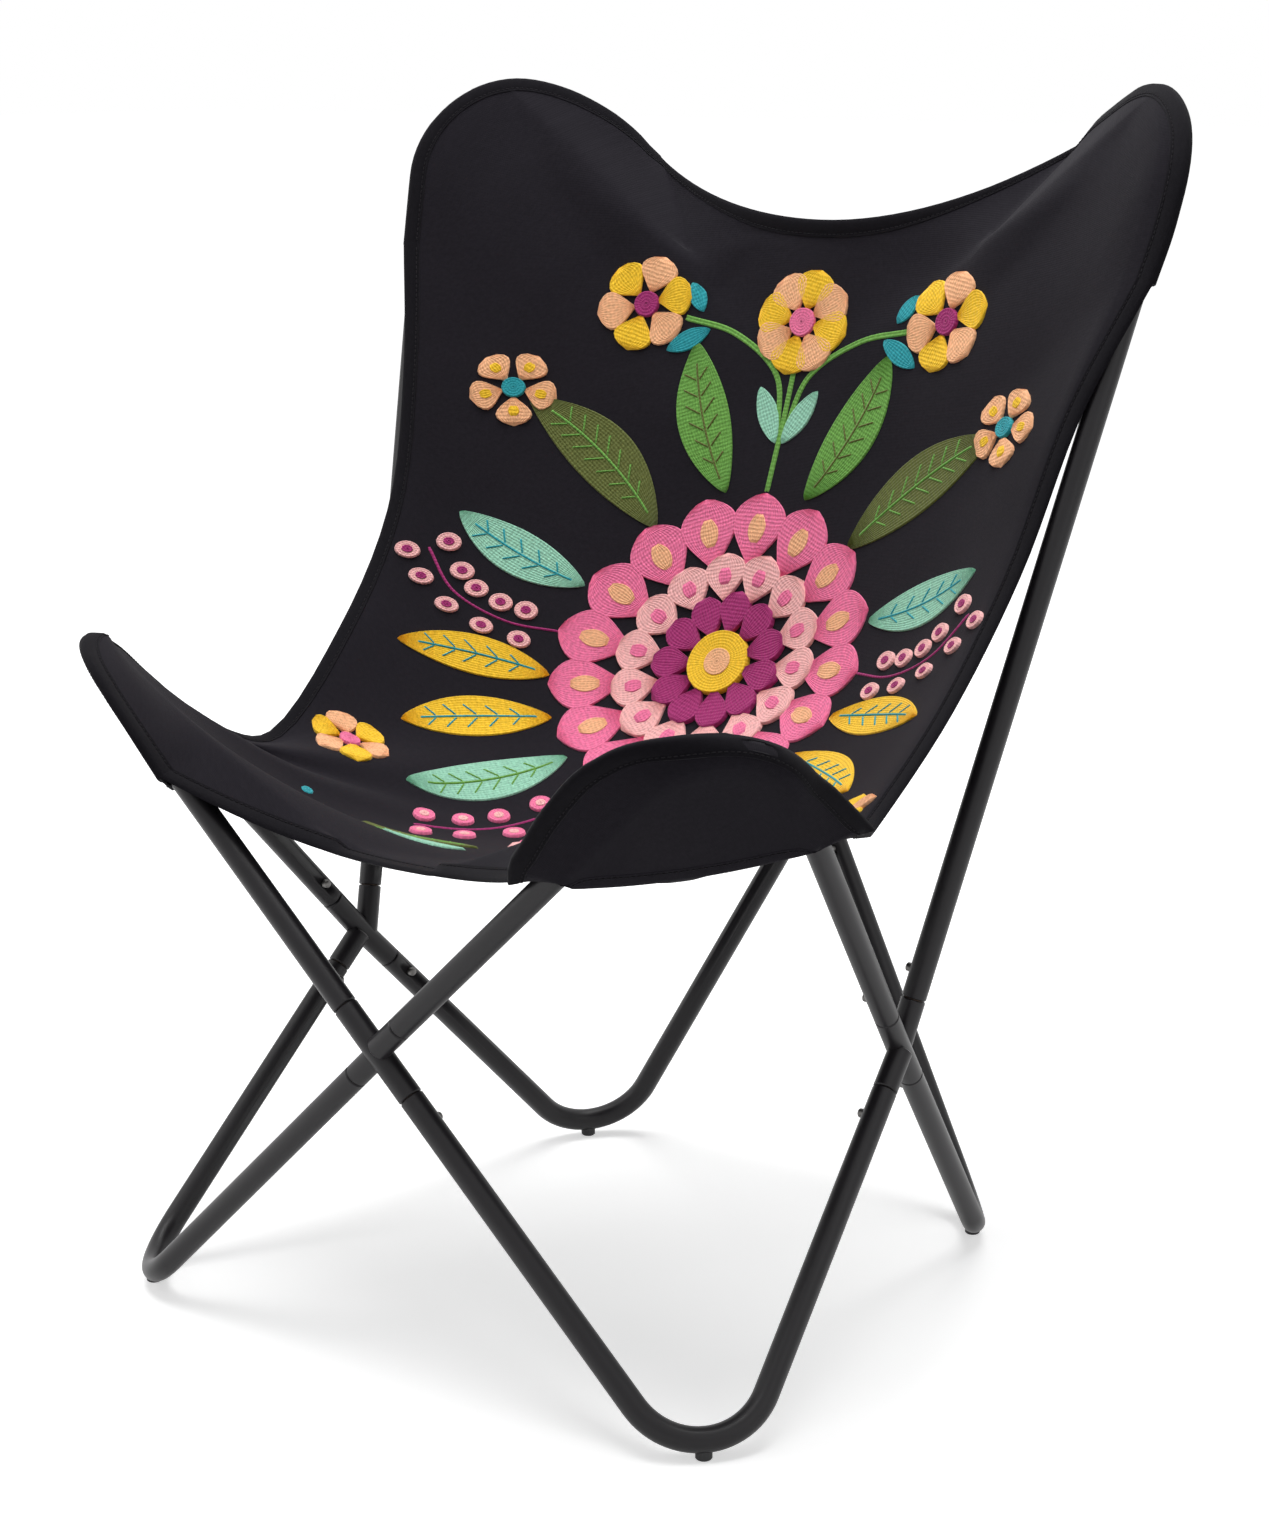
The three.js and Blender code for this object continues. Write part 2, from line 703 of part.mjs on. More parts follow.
// A closed sheet of even thickness about a net of points. Where the first and last rows are doubled,
// each is sewn to itself, so that the sheet's edge is the run of row ends alone.
function sheet(net, thickness, doubled) {
  const rows = net.length;
  const columns = net[0].length;
  const points = net.flat();
  const at = (i, j) => {
    const folded = doubled && (i === 0 || i === rows - 1);
    return i * columns + (folded ? Math.min(j, columns - 1 - j) : j);
  };
  const faces = [];
  const addFace = (...corners) => {
    if (new Set(corners).size === 3) faces.push(...corners);
  };
  for (let i = 0; i < rows - 1; i++) {
    for (let j = 0; j < columns - 1; j++) {
      const [p, q, r, s] = [at(i, j), at(i, j + 1), at(i + 1, j + 1), at(i + 1, j)];
      if (points[p].distanceTo(points[r]) <= points[q].distanceTo(points[s])) {
        addFace(p, q, r);
        addFace(p, r, s);
      } else {
        addFace(p, q, s);
        addFace(q, r, s);
      }
    }
  }
  const skin = new THREE.BufferGeometry();
  skin.setAttribute("position", new THREE.Float32BufferAttribute(points.flatMap((p) => p.toArray()), 3));
  skin.setIndex(faces);
  skin.computeVertexNormals();
  const normals = skin.attributes.normal;
  const positions = [];
  for (const face of [1, -1]) {
    points.forEach((point, k) => {
      const normal = vec(normals.getX(k), normals.getY(k), normals.getZ(k));
      positions.push(...along(point, normal, (face * thickness) / 2).toArray());
    });
  }
  const index = [...faces];
  const total = points.length;
  for (let k = 0; k < faces.length; k += 3) {
    index.push(faces[k] + total, faces[k + 2] + total, faces[k + 1] + total);
  }
  const border = [];
  if (!doubled) for (let j = 0; j < columns - 1; j++) border.push(at(0, j));
  for (let i = 0; i < rows - 1; i++) border.push(at(i, columns - 1));
  if (!doubled) for (let j = columns - 1; j > 0; j--) border.push(at(rows - 1, j));
  for (let i = rows - 1; i > 0; i--) border.push(at(i, 0));
  border.forEach((a, k) => {
    const b = border[(k + 1) % border.length];
    index.push(a, a + total, b, b, a + total, b + total);
  });
  const geometry = new THREE.BufferGeometry();
  geometry.setAttribute("position", new THREE.Float32BufferAttribute(positions, 3));
  geometry.setIndex(index);
  const flat = geometry.toNonIndexed();
  flat.computeVertexNormals();
  return flat;
}

place(sling, "sling_panel", sheet(slingNet(), clothThickness, true), cloth);

// Pockets: a second panel on the outer face of each horn, open below
function pocketNet(laid, ear) {
  const stations = rimStations(laid, ear);
  const inward = facingIn(laid);
  const bands = stations.map((station) => wrap(station, inward, -1).reverse());
  const inner = stations.map((station) => {
    const under = along(station.point, station.out, -tubeRadius);
    return along(under, inward, -clothReach);
  });
  const first = inner[0];
  const last = inner[inner.length - 1];
  return bands.map((band, k) => {
    const t = k / (bands.length - 1);
    const mouth = mix(first, last, t).addScaledVector(laid.inwards, pocketBow * 4 * t * (1 - t));
    const run = [];
    for (let step = 1; step <= pocketSteps; step++) run.push(mix(band[2], mouth, step / pocketSteps));
    return [...band, ...run];
  });
}

for (const side of ["left", "right"]) {
  for (const end of Object.keys(ears)) {
    const net = pocketNet(laidOut[`horn_${end}_${side}`], ears[end]);
    const turned = (end === "front") === (side === "right");
    place(sling, `pocket_${end}_${side}`, sheet(turned ? net : net.reverse(), clothThickness, false), cloth);
  }
}

export default chair;
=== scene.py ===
# Butterfly sling chair: looks. Lengths are millimetres in the CAD model's frame; meshes are made in metres.
import math

import bmesh
import bpy
import numpy as np
from mathutils import Matrix, Vector
from mathutils.bvhtree import BVHTree


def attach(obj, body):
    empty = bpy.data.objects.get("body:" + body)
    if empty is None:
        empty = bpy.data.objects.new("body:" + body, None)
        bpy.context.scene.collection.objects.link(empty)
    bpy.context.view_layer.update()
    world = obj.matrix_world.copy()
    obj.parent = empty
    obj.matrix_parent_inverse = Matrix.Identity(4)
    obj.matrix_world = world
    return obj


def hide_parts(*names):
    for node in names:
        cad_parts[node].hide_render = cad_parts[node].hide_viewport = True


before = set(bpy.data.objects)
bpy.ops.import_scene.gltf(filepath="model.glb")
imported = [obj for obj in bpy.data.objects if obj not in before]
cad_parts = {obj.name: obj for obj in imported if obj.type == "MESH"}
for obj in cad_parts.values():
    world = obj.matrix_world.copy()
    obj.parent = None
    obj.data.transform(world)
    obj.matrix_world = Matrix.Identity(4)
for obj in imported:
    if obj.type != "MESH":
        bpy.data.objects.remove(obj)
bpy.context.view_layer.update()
MM = 0.001
TINY = 1e-9
SHORTEST_RUN = 1e-4
SEWN_WITHIN = 1e-5
SIDES = ("left", "right")

# Tube stock and bends, as in the CAD model
TUBE_RADIUS = 9.5
TUBE_BORE = 8.0
TUBE_SIDES = 40
BEND_STEPS = 28
FLOOR_RADIUS = 55.0
FRONT_HORN_RADIUS = 55.0
BACK_HORN_RADIUS = 82.5
GLIDE_HEIGHT = 5.0
FLOOR_Z = GLIDE_HEIGHT + TUBE_RADIUS
LAYOUT_ROUNDS = 80
FLOOR_ROUNDS = 12
LOWEST_STEPS = 200

# Cross connectors and buttons
THROUGH_ARM = 42.0
STUB_ARM = 35.0
STUB_SHIFT = 4.5
UPPER_SETBACK = 9.0
LOWER_SETBACK = -4.0
# How far the upper and the lower stub reach past the middle of the through tube
STUB_PAST = {"front": (-6.0, -5.0), "back": (-6.0, -5.0), "left": (3.0, -4.0), "right": (3.0, -4.0)}
JOINT_GAP = 0.6
EDGE_BREAK = 0.9
BUTTON_FROM_JOINT = 21.0
BUTTON_RADIUS = 3.5
BUTTON_HOLE = 3.9
BUTTON_FOOT = 5.6
BUTTON_TOP = 14.2
BUTTON_DOME = 1.7
BUTTON_SIDES = 28
DOME_STEPS = 7
DOME_TIP = 0.05
HOLE_SIDES = 24
HOLE_DEPTHS = (0.3, 1.6)

# Sling: like the CAD model's, with thinner cloth, uneven ears and a seat that lies a little higher
CLOTH_CLEARANCE = 0.6
SOLID_HALF = 1.1
CLOTH_REACH = TUBE_RADIUS + CLOTH_CLEARANCE + SOLID_HALF
CLOTH_THICKNESS = 1.5
SEAM_GAP = 0.5
WRAP_CORNER = 0.81
SHOULDER_CURVE = 1.5
SIDE_OUT = 0.92
SIDE_DOWN = 0.58
RIM_DROP = 4.0
HEM_BAND = 14.0
HEM_CENTRE = np.array([0.0, -274.0, 391.0])
HEM_BOW = 0.55
NECK_CENTRE = np.array([0.0, 280.0, 827.0])
NECK_BOW = 0.5
NECK_PULL = (0.9, -10.0, -100.0)
EDGE_POINTS = {
    "left": ((-305.0, -135.0, 430.0), (-298.0, -89.0, 417.0), (-300.0, 7.0, 492.0), (-311.0, 86.0, 588.0)),
    "right": ((298.0, -89.0, 426.0), (300.0, 7.0, 492.0), (311.0, 86.0, 588.0)),
}
EDGE_LEG_REACH = 165.0
EDGE_LEG_OUT = 6.0
EDGE_LEG_GAP = 1.2
EDGE_PULL = (20.0, -60.0)
PULL_POWER = 3
SEAT_FRONT = (-163.0, 374.0)
SEAT_LOW = (-33.0, 361.0)
LUMBAR = (112.0, 440.0)
BACK_PANEL = (219.0, 640.0)
SPINE_SINK = 3.0
SPINE_STEPS = 500
SPINE_STARTS = (0.06, 0.12, 0.29, 0.72, 0.87, 0.95)
SLING_HOLLOW = 1.0
FRONT_FOLD = 1.8
FRONT_FOLD_END = 0.55
RIDGE_BOW = -8.0
RIDGE_CLEARANCE = 3.0
CREASE_ENDS = {"left": (-129.0, 271.0, 796.0), "right": (168.0, 268.0, 818.0)}
CREASE_FADE_START = 0.6
CREASE_FADE = 0.3
POCKET_BOW = 8.0
POCKET_SLANT = 0.6
POCKET_LEAD = 0.3
POCKET_SAMPLE = (5, -4)

# Rows along the sling's edge, in most stretches REFINE times the CAD model's, and steps across the sling
REFINE = 4
HEM_ROWS = 4 * REFINE
EAR_LEG_ROWS = 3 * REFINE
EAR_ARC_ROWS = 8 * REFINE
EAR_SIDE_ROWS = 2 * REFINE
BACK_LEG_ROWS = 1 * REFINE
EDGE_ROWS = 8 * REFINE
NECK_ROWS = 4 * REFINE
ACROSS_STEPS = 26
BAND_STEPS = 4
BAND = 2 * BAND_STEPS
BINDING_STEPS = BAND + 6
POCKET_STEPS = 10


def unit(v):
    return v / np.linalg.norm(v)


def mix(a, b, t):
    return a + (b - a) * t


def smooth(t):
    t = min(1.0, max(0.0, t))
    return t * t * (3 - 2 * t)


# Crossings of the frame, with each stub's shift outwards and along y, and the middles of the tubes' bends
CROSSINGS = {
    "front": {
        "centre": np.array([0.0, -291.0, 255.0]),
        "outward": np.array([0.0, -1.0, 0.0]),
        "through": ("horn_front_left", "floor_front_right"),
        "stubs": {"horn_front_right": (STUB_SHIFT, 0), "floor_front_left": (-STUB_SHIFT, 0)},
    },
    "back": {
        "centre": np.array([0.0, 286.0, 343.0]),
        "outward": np.array([0.0, 1.0, 0.0]),
        "through": ("horn_back_right", "floor_back_left"),
        "stubs": {"horn_back_left": (STUB_SHIFT, 0), "floor_back_right": (-STUB_SHIFT, 0)},
    },
    "left": {
        "centre": np.array([-271.0, -10.0, 237.0]),
        "outward": np.array([-1.0, 0.0, 0.0]),
        "through": ("horn_front_left", "floor_back_left"),
        "stubs": {"horn_back_left": (0, UPPER_SETBACK), "floor_front_left": (-STUB_SHIFT, LOWER_SETBACK)},
    },
    "right": {
        "centre": np.array([271.0, -10.0, 237.0]),
        "outward": np.array([1.0, 0.0, 0.0]),
        "through": ("horn_front_right", "floor_back_right"),
        "stubs": {
            "horn_back_right": (-STUB_SHIFT, UPPER_SETBACK),
            "floor_front_right": (STUB_SHIFT, LOWER_SETBACK),
        },
    },
}
BEND_MIDDLES = {
    "floor_front": ((274.0, -261.5, FLOOR_Z), FLOOR_RADIUS),
    "floor_back": ((198.5, 225.0, FLOOR_Z), FLOOR_RADIUS),
    "horn_front": ((299.0, -269.0, 513.0), FRONT_HORN_RADIUS),
    "horn_back": ((319.0, 263.0, 926.5), BACK_HORN_RADIUS),
}


def arm_of(crossing_name, bend_name):
    crossing = CROSSINGS[crossing_name]
    shift = crossing["stubs"].get(bend_name)
    if shift is None:
        return crossing["centre"].copy(), THROUGH_ARM
    base = crossing["centre"] + crossing["outward"] * shift[0] + np.array([0.0, shift[1], 0.0])
    return base, STUB_ARM


def legs_from(apex, radius, bases):
    legs = [unit(base - apex) for base in bases]
    half = math.acos(float(np.dot(legs[0], legs[1]))) / 2
    inwards = unit(legs[0] + legs[1])
    centre = apex + inwards * radius / math.sin(half)
    starts = [apex + leg * radius / math.tan(half) for leg in legs]
    return {"legs": legs, "inwards": inwards, "centre": centre, "starts": starts, "turn": math.pi - 2 * half}


# Legs and bend of one tube, with the apex moved until the bend's middle is where it should be
def lay_out(name, middle, radius):
    _, end, side = name.split("_")
    arms = [arm_of(side, name), arm_of(end, name)]
    bases = [arm[0] for arm in arms]
    apex = middle + unit(middle - mix(bases[0], bases[1], 0.5)) * radius
    shape = legs_from(apex, radius, bases)
    for _ in range(LAYOUT_ROUNDS):
        reached = shape["centre"] - shape["inwards"] * radius
        apex = apex + middle - reached
        shape = legs_from(apex, radius, bases)
    shape.update(name=name, ends=(side, end), arms=arms, radius=radius)
    return shape


def bend_point(laid, t):
    first = laid["starts"][0] - laid["centre"]
    last = laid["starts"][1] - laid["centre"]
    turn = laid["turn"]
    return laid["centre"] + (first * math.sin((1 - t) * turn) + last * math.sin(t * turn)) / math.sin(turn)


def lowest_point(laid):
    points = [bend_point(laid, i / LOWEST_STEPS) for i in range(LOWEST_STEPS + 1)]
    return min(points, key=lambda p: p[2])


LAID = {}
for key, (middle, radius) in BEND_MIDDLES.items():
    for side, sign in zip(SIDES, (-1, 1)):
        place = np.array([sign * middle[0], middle[1], middle[2]])
        laid = lay_out(f"{key}_{side}", place, radius)
        if key.startswith("floor"):
            for _ in range(FLOOR_ROUNDS):
                place[2] += FLOOR_Z - lowest_point(laid)[2]
                laid = lay_out(f"{key}_{side}", place, radius)
        LAID[laid["name"]] = laid


# Axis points and tangents of a bent tube from its first joint to its second
def tube_stations(laid):
    legs = laid["legs"]
    ends = [base - leg * (length + JOINT_GAP) for (base, length), leg in zip(laid["arms"], legs)]
    axis = unit(np.cross(legs[0], legs[1]))
    start = -legs[0]
    points = [ends[0]]
    tangents = [start]
    for i in range(BEND_STEPS + 1):
        angle = -laid["turn"] * i / BEND_STEPS
        points.append(bend_point(laid, i / BEND_STEPS))
        tangents.append(unit(start * math.cos(angle) + np.cross(axis, start) * math.sin(angle)))
    return [*points, ends[1]], [*tangents, legs[1]]


def joint_frame(laid, i):
    axis = -laid["legs"][i]
    inward = -CROSSINGS[laid["ends"][i]]["outward"]
    facing = unit(inward - axis * float(np.dot(inward, axis)))
    base, length = laid["arms"][i]
    return base + axis * length, axis, facing


def button_frame(laid, i):
    joint, axis, facing = joint_frame(laid, i)
    return joint + axis * (JOINT_GAP + BUTTON_FROM_JOINT), axis, facing


# Mesh helpers
def add_object(name, data):
    obj = bpy.data.objects.new(name, data)
    bpy.context.scene.collection.objects.link(obj)
    return obj


def make_object(name, verts, faces, material, angle=35.0):
    mesh = bpy.data.meshes.new(name)
    mesh.from_pydata([tuple(float(c) * MM for c in v) for v in verts], [], faces)
    mesh.validate()
    mesh.polygons.foreach_set("use_smooth", [True] * len(mesh.polygons))
    mesh.set_sharp_from_angle(angle=math.radians(angle))
    mesh.materials.append(material)
    return add_object(name, mesh)


def apply_modifiers(obj):
    bpy.context.view_layer.update()
    graph = bpy.context.evaluated_depsgraph_get()
    mesh = bpy.data.meshes.new_from_object(obj.evaluated_get(graph))
    obj.modifiers.clear()
    obj.data = mesh


def ring(point, tangent, side_hint, radius, sides):
    side = unit(side_hint - tangent * float(np.dot(side_hint, tangent)))
    up = np.cross(tangent, side)
    angles = [2 * math.pi * k / sides for k in range(sides)]
    return [point + side * (radius * math.cos(a)) + up * (radius * math.sin(a)) for a in angles]


def loft(rings, closed_ends=False, looped=False):
    verts = [p for r in rings for p in r]
    sides = len(rings[0])
    faces = []
    count = len(rings)
    for i in range(count if looped else count - 1):
        a = i * sides
        b = ((i + 1) % count) * sides
        for k in range(sides):
            n = (k + 1) % sides
            faces.append((a + k, a + n, b + n, b + k))
    if closed_ends:
        faces.append(tuple(reversed(range(sides))))
        faces.append(tuple(range((count - 1) * sides, count * sides)))
    return verts, faces


def join(parts):
    verts = []
    faces = []
    for part_verts, part_faces in parts:
        offset = len(verts)
        verts.extend(part_verts)
        faces.extend(tuple(i + offset for i in face) for face in part_faces)
    return verts, faces


# The outside of a tube, with broken edges at both ends
def tube_rings(points, tangents, hint):
    stations = [
        (points[0], tangents[0], TUBE_RADIUS - EDGE_BREAK),
        (points[0] + tangents[0] * EDGE_BREAK, tangents[0], TUBE_RADIUS),
        *((point, tangent, TUBE_RADIUS) for point, tangent in zip(points[1:-1], tangents[1:-1])),
        (points[-1] - tangents[-1] * EDGE_BREAK, tangents[-1], TUBE_RADIUS),
        (points[-1], tangents[-1], TUBE_RADIUS - EDGE_BREAK),
    ]
    return [ring(point, tangent, hint, radius, TUBE_SIDES) for point, tangent, radius in stations]


# A tube with a bore right through, as one closed surface
def pipe(points, tangents, hint):
    back = zip(reversed(points), reversed(tangents))
    bore = [ring(point, tangent, hint, TUBE_BORE, TUBE_SIDES) for point, tangent in back]
    return loft(tube_rings(points, tangents, hint) + bore, looped=True)


def bar(start, end, hint):
    axis = unit(end - start)
    return loft(tube_rings([start, end], [axis, axis], hint), closed_ends=True)


# Node materials. A setting is the name of an input, with _ for a space, or else an attribute of the node.
def set_up(node, **settings):
    for key, value in settings.items():
        socket = key.replace("_", " ")
        if socket in node.inputs:
            node.inputs[socket].default_value = value
        else:
            setattr(node, key, value)
    return node


def add_node(tree, kind, **settings):
    return set_up(tree.nodes.new(f"ShaderNode{kind}"), **settings)


def link(source, output, target, socket):
    source.id_data.links.new(source.outputs[output], target.inputs[socket])


def new_material(name, colour, **finish):
    material = bpy.data.materials.new(name)
    material.use_nodes = True
    tree = material.node_tree
    return material, tree, set_up(tree.nodes["Principled BSDF"], Base_Color=(*colour, 1.0), **finish)


def noise(place, output, **settings):
    node = add_node(place.id_data, "TexNoise", **settings)
    link(place, output, node, "Vector")
    return node


# A math node, with a number for each input or the node and the output that it comes from
def combine(tree, operation, *terms):
    node = add_node(tree, "Math", operation=operation)
    for k, term in enumerate(terms):
        if isinstance(term, tuple):
            link(*term, node, k)
        else:
            node.inputs[k].default_value = term
    return node


def tint(shader, source, output, low, high, ends=(0.0, 1.0)):
    ramp = add_node(shader.id_data, "ValToRGB")
    for element, colour, position in zip(ramp.color_ramp.elements, (low, high), ends):
        element.color = (*colour, 1.0)
        element.position = position
    link(source, output, ramp, "Fac")
    link(ramp, "Color", shader, "Base Color")


def spread(source, output, low, high, target, socket, **reach):
    node = add_node(source.id_data, "MapRange", To_Min=low, To_Max=high, **reach)
    link(source, output, node, "Value")
    link(node, "Result", target, socket)


def emboss(shader, source, output, strength, depth):
    bump = add_node(shader.id_data, "Bump", Strength=strength, Distance=depth)
    link(source, output, bump, "Height")
    link(bump, "Normal", shader, "Normal")


# Powder coat: near black, satin, with the fine ripple of a sprayed coat
def powder_coat():
    finish = {"Roughness": 0.38, "Specular_IOR_Level": 0.3}
    material, tree, shader = new_material("powder_coat", (0.010, 0.009, 0.0105), **finish)
    place = add_node(tree, "TexCoord")
    ripple = noise(place, "Object", Scale=900.0, Detail=3.0)
    cloud = noise(place, "Object", Scale=26.0, Detail=4.0)
    tint(shader, cloud, "Fac", (0.008, 0.007, 0.0085), (0.013, 0.0115, 0.0135))
    spread(cloud, "Fac", 0.33, 0.45, shader, "Roughness")
    emboss(shader, ripple, "Fac", strength=0.12, depth=0.0002)
    return material


def worn_steel(name, dark, light):
    material, tree, shader = new_material(name, light, Roughness=0.4, Metallic=1.0)
    wear = noise(add_node(tree, "TexCoord"), "Object", Scale=420.0, Detail=5.0)
    tint(shader, wear, "Fac", dark, light)
    spread(wear, "Fac", 0.28, 0.5, shader, "Roughness")
    return material


def glide_plastic():
    material, tree, shader = new_material("glide_plastic", (0.012, 0.012, 0.013), Roughness=0.6)
    grain = noise(add_node(tree, "TexCoord"), "Object", Scale=700.0, Detail=2.0)
    tint(shader, grain, "Fac", (0.009, 0.009, 0.010), (0.017, 0.017, 0.018))
    emboss(shader, grain, "Fac", strength=0.2, depth=0.0003)
    return material


# Cotton canvas: a plain weave laid out on the cloth's own map, with slubs, lint and a soft nap
def canvas(name, dark, light, thread=1.3):
    finish = {"Roughness": 0.92, "Sheen_Weight": 0.06, "Sheen_Roughness": 0.45, "Specular_IOR_Level": 0.07}
    material, tree, shader = new_material(name, light, **finish)
    place = add_node(tree, "UVMap", uv_map="cloth")
    threads = []
    for direction in ("X", "Y"):
        wave = add_node(tree, "TexWave", bands_direction=direction, Scale=math.pi / 10 / (thread * MM))
        set_up(wave, Distortion=1.2, Detail=1.0, Detail_Scale=0.6)
        link(place, "UV", wave, "Vector")
        threads.append((wave, "Fac"))
    weave = combine(tree, "MAXIMUM", *threads)
    slub = noise(place, "UV", Scale=240.0, Detail=6.0, Roughness=0.7)
    cloud = noise(place, "UV", Scale=7.0, Detail=3.0)
    part = combine(tree, "MULTIPLY", (cloud, "Fac"), 0.4)
    blend = combine(tree, "MULTIPLY_ADD", (slub, "Fac"), 0.6, (part, "Value"))
    tint(shader, blend, "Value", dark, light, ends=(0.25, 0.75))
    height = combine(tree, "MULTIPLY_ADD", (slub, "Fac"), 0.8, (weave, "Value"))
    emboss(shader, height, "Value", strength=0.28, depth=0.0005)
    return material


# Embroidery yarn: short stitches along each row, with a soft nap and a slight change of shade
def yarn(name, colour):
    finish = {"Roughness": 0.78, "Sheen_Weight": 0.2, "Sheen_Roughness": 0.5, "Specular_IOR_Level": 0.25}
    material, tree, shader = new_material(name, colour, **finish)
    place = add_node(tree, "UVMap", uv_map="cloth")
    stitch = add_node(tree, "TexWave", bands_direction="Y", Scale=95.0, Distortion=2.5, Detail=2.0)
    link(place, "UV", stitch, "Vector")
    fuzz = noise(place, "UV", Scale=330.0, Detail=4.0)
    dim = tuple(c * 0.72 for c in colour)
    lit = tuple(min(1.0, c * 1.12 + 0.01) for c in colour)
    tint(shader, fuzz, "Fac", dim, lit, ends=(0.2, 0.7))
    height = combine(tree, "ADD", (stitch, "Fac"), (fuzz, "Fac"))
    emboss(shader, height, "Value", strength=0.45, depth=0.0005)
    return material


coat = powder_coat()
steel = worn_steel("button_steel", (0.075, 0.07, 0.066), (0.21, 0.205, 0.20))
inner_steel = worn_steel("sleeve_steel", (0.035, 0.025, 0.019), (0.095, 0.066, 0.048))
plastic = glide_plastic()
cloth = canvas("black_canvas", (0.0085, 0.0075, 0.0105), (0.0175, 0.0155, 0.0205))
# Binding tape darker than the panel: partly its denser cloth, partly painted shade for the shade along its
# seam and where it turns away from the light
tape = canvas("black_binding_painted_shade", (0.0045, 0.004, 0.0055), (0.0105, 0.0095, 0.0125), thread=1.0)
thread = canvas("black_thread", (0.010, 0.009, 0.011), (0.026, 0.024, 0.028), thread=0.6)

NODE_LOOKS = {"glide": plastic, "sleeve": inner_steel, "button": steel}
for name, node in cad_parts.items():
    node.data.materials.clear()
    node.data.materials.append(next((look for word, look in NODE_LOOKS.items() if word in name), coat))


# Frame: smooth tubes with cut button holes, connectors and domed buttons
def cut_holes(obj, holes):
    cutters = []
    for point, axis, facing in holes:
        places = [point + facing * (TUBE_RADIUS * depth) for depth in HOLE_DEPTHS]
        rings = [ring(place, facing, axis, BUTTON_HOLE, HOLE_SIDES) for place in places]
        cutters.append(loft(rings, closed_ends=True))
    cutter = make_object("cutter", *join(cutters), coat)
    modifier = obj.modifiers.new("holes", "BOOLEAN")
    modifier.operation = "DIFFERENCE"
    modifier.solver = "EXACT"
    modifier.object = cutter
    apply_modifiers(obj)
    bpy.data.objects.remove(cutter)


def build_tube(laid):
    hint = unit(np.cross(laid["legs"][0], laid["legs"][1]))
    piece = make_object(f"{laid['name']}_pipe", *pipe(*tube_stations(laid), hint), coat)
    cut_holes(piece, [button_frame(laid, i) for i in (0, 1)])
    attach(piece, "frame")
    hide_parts(f"{laid['name']}_tube")


def build_cross(name):
    crossing = CROSSINGS[name]

    def arm_end(bend_name):
        laid = LAID[bend_name]
        return joint_frame(laid, laid["ends"].index(name))

    ends = [arm_end(bend_name) for bend_name in crossing["through"]]
    middle = crossing["centre"]
    points = [ends[0][0], middle, ends[1][0]]
    tangents = [-ends[0][1], unit(ends[1][1] - ends[0][1]), ends[1][1]]
    hint = crossing["outward"]
    parts = [pipe(points, tangents, hint)]
    for bend_name in crossing["stubs"]:
        joint, axis, _ = arm_end(bend_name)
        base, _ = arm_of(name, bend_name)
        upper, lower = STUB_PAST[name]
        past = upper if bend_name.startswith("horn") else lower
        ahead = float(np.dot(base - middle, axis))
        parts.append(bar(base - axis * (ahead + past), joint, hint))
    piece = make_object(f"{name}_connector", *join(parts), coat)
    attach(piece, "frame")
    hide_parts(f"cross_{name}")


def build_button(laid, i):
    centre, axis, facing = button_frame(laid, i)
    shoulder = BUTTON_TOP - BUTTON_DOME
    profile = [(BUTTON_RADIUS, BUTTON_FOOT), (BUTTON_RADIUS, shoulder)]
    for k in range(1, DOME_STEPS):
        angle = math.pi / 2 * k / DOME_STEPS
        profile.append((BUTTON_RADIUS * math.cos(angle), shoulder + BUTTON_DOME * math.sin(angle)))
    profile.append((BUTTON_RADIUS * DOME_TIP, BUTTON_TOP))
    rings = [ring(centre + facing * h, facing, axis, r, BUTTON_SIDES) for r, h in profile]
    name = f"{laid['name']}_button_{laid['ends'][i]}"
    piece = make_object(f"{name}_dome", *loft(rings, closed_ends=True), steel, angle=50.0)
    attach(piece, name)
    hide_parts(name)


for laid in LAID.values():
    build_tube(laid)
    for i in (0, 1):
        build_button(laid, i)
for name in CROSSINGS:
    build_cross(name)


# Curves through given points, and lengths along lines of points
def catmull_rom(points, t):
    last = len(points) - 1
    place = min(t * last, last - TINY)
    k = int(place)
    w = place - k
    p1, p2 = points[k], points[k + 1]
    p0 = points[k - 1] if k > 0 else 2 * points[0] - points[1]
    p3 = points[k + 2] if k + 2 <= last else 2 * points[last] - points[last - 1]
    runs = (p1 - p0, p2 - p1, p3 - p2)
    d0, d1, d2 = (max(np.linalg.norm(run), SHORTEST_RUN) ** 0.5 for run in runs)
    t1 = ((p1 - p0) / d0 - (p2 - p0) / (d0 + d1) + (p2 - p1) / d1) * d1
    t2 = ((p2 - p1) / d1 - (p3 - p1) / (d1 + d2) + (p3 - p2) / d2) * d1
    c2 = -3 * p1 + 3 * p2 - 2 * t1 - t2
    c3 = 2 * p1 - 2 * p2 + t1 + t2
    return p1 + w * (t1 + w * (c2 + w * c3))


def bezier(a, b, c, t):
    return a * (1 - t) ** 2 + b * 2 * t * (1 - t) + c * t * t


def run_lengths(points):
    return np.concatenate([[0], np.cumsum(np.linalg.norm(np.diff(points, axis=0), axis=1))])


def at_length(values, lengths, place):
    return np.array([np.interp(place, lengths, values[:, k]) for k in range(3)])


SPINE_POINTS = [
    np.array([0.0, HEM_CENTRE[1] + HEM_BAND, HEM_CENTRE[2] - SPINE_SINK]),
    *(np.array([0.0, *place]) for place in (SEAT_FRONT, SEAT_LOW, LUMBAR, BACK_PANEL)),
    np.array([0.0, NECK_CENTRE[1] - SPINE_SINK, NECK_CENTRE[2] - HEM_BAND]),
]
SPINE_RUN = np.array([catmull_rom(SPINE_POINTS, i / SPINE_STEPS) for i in range(SPINE_STEPS + 1)])
SPINE_LENGTHS = run_lengths(SPINE_RUN)


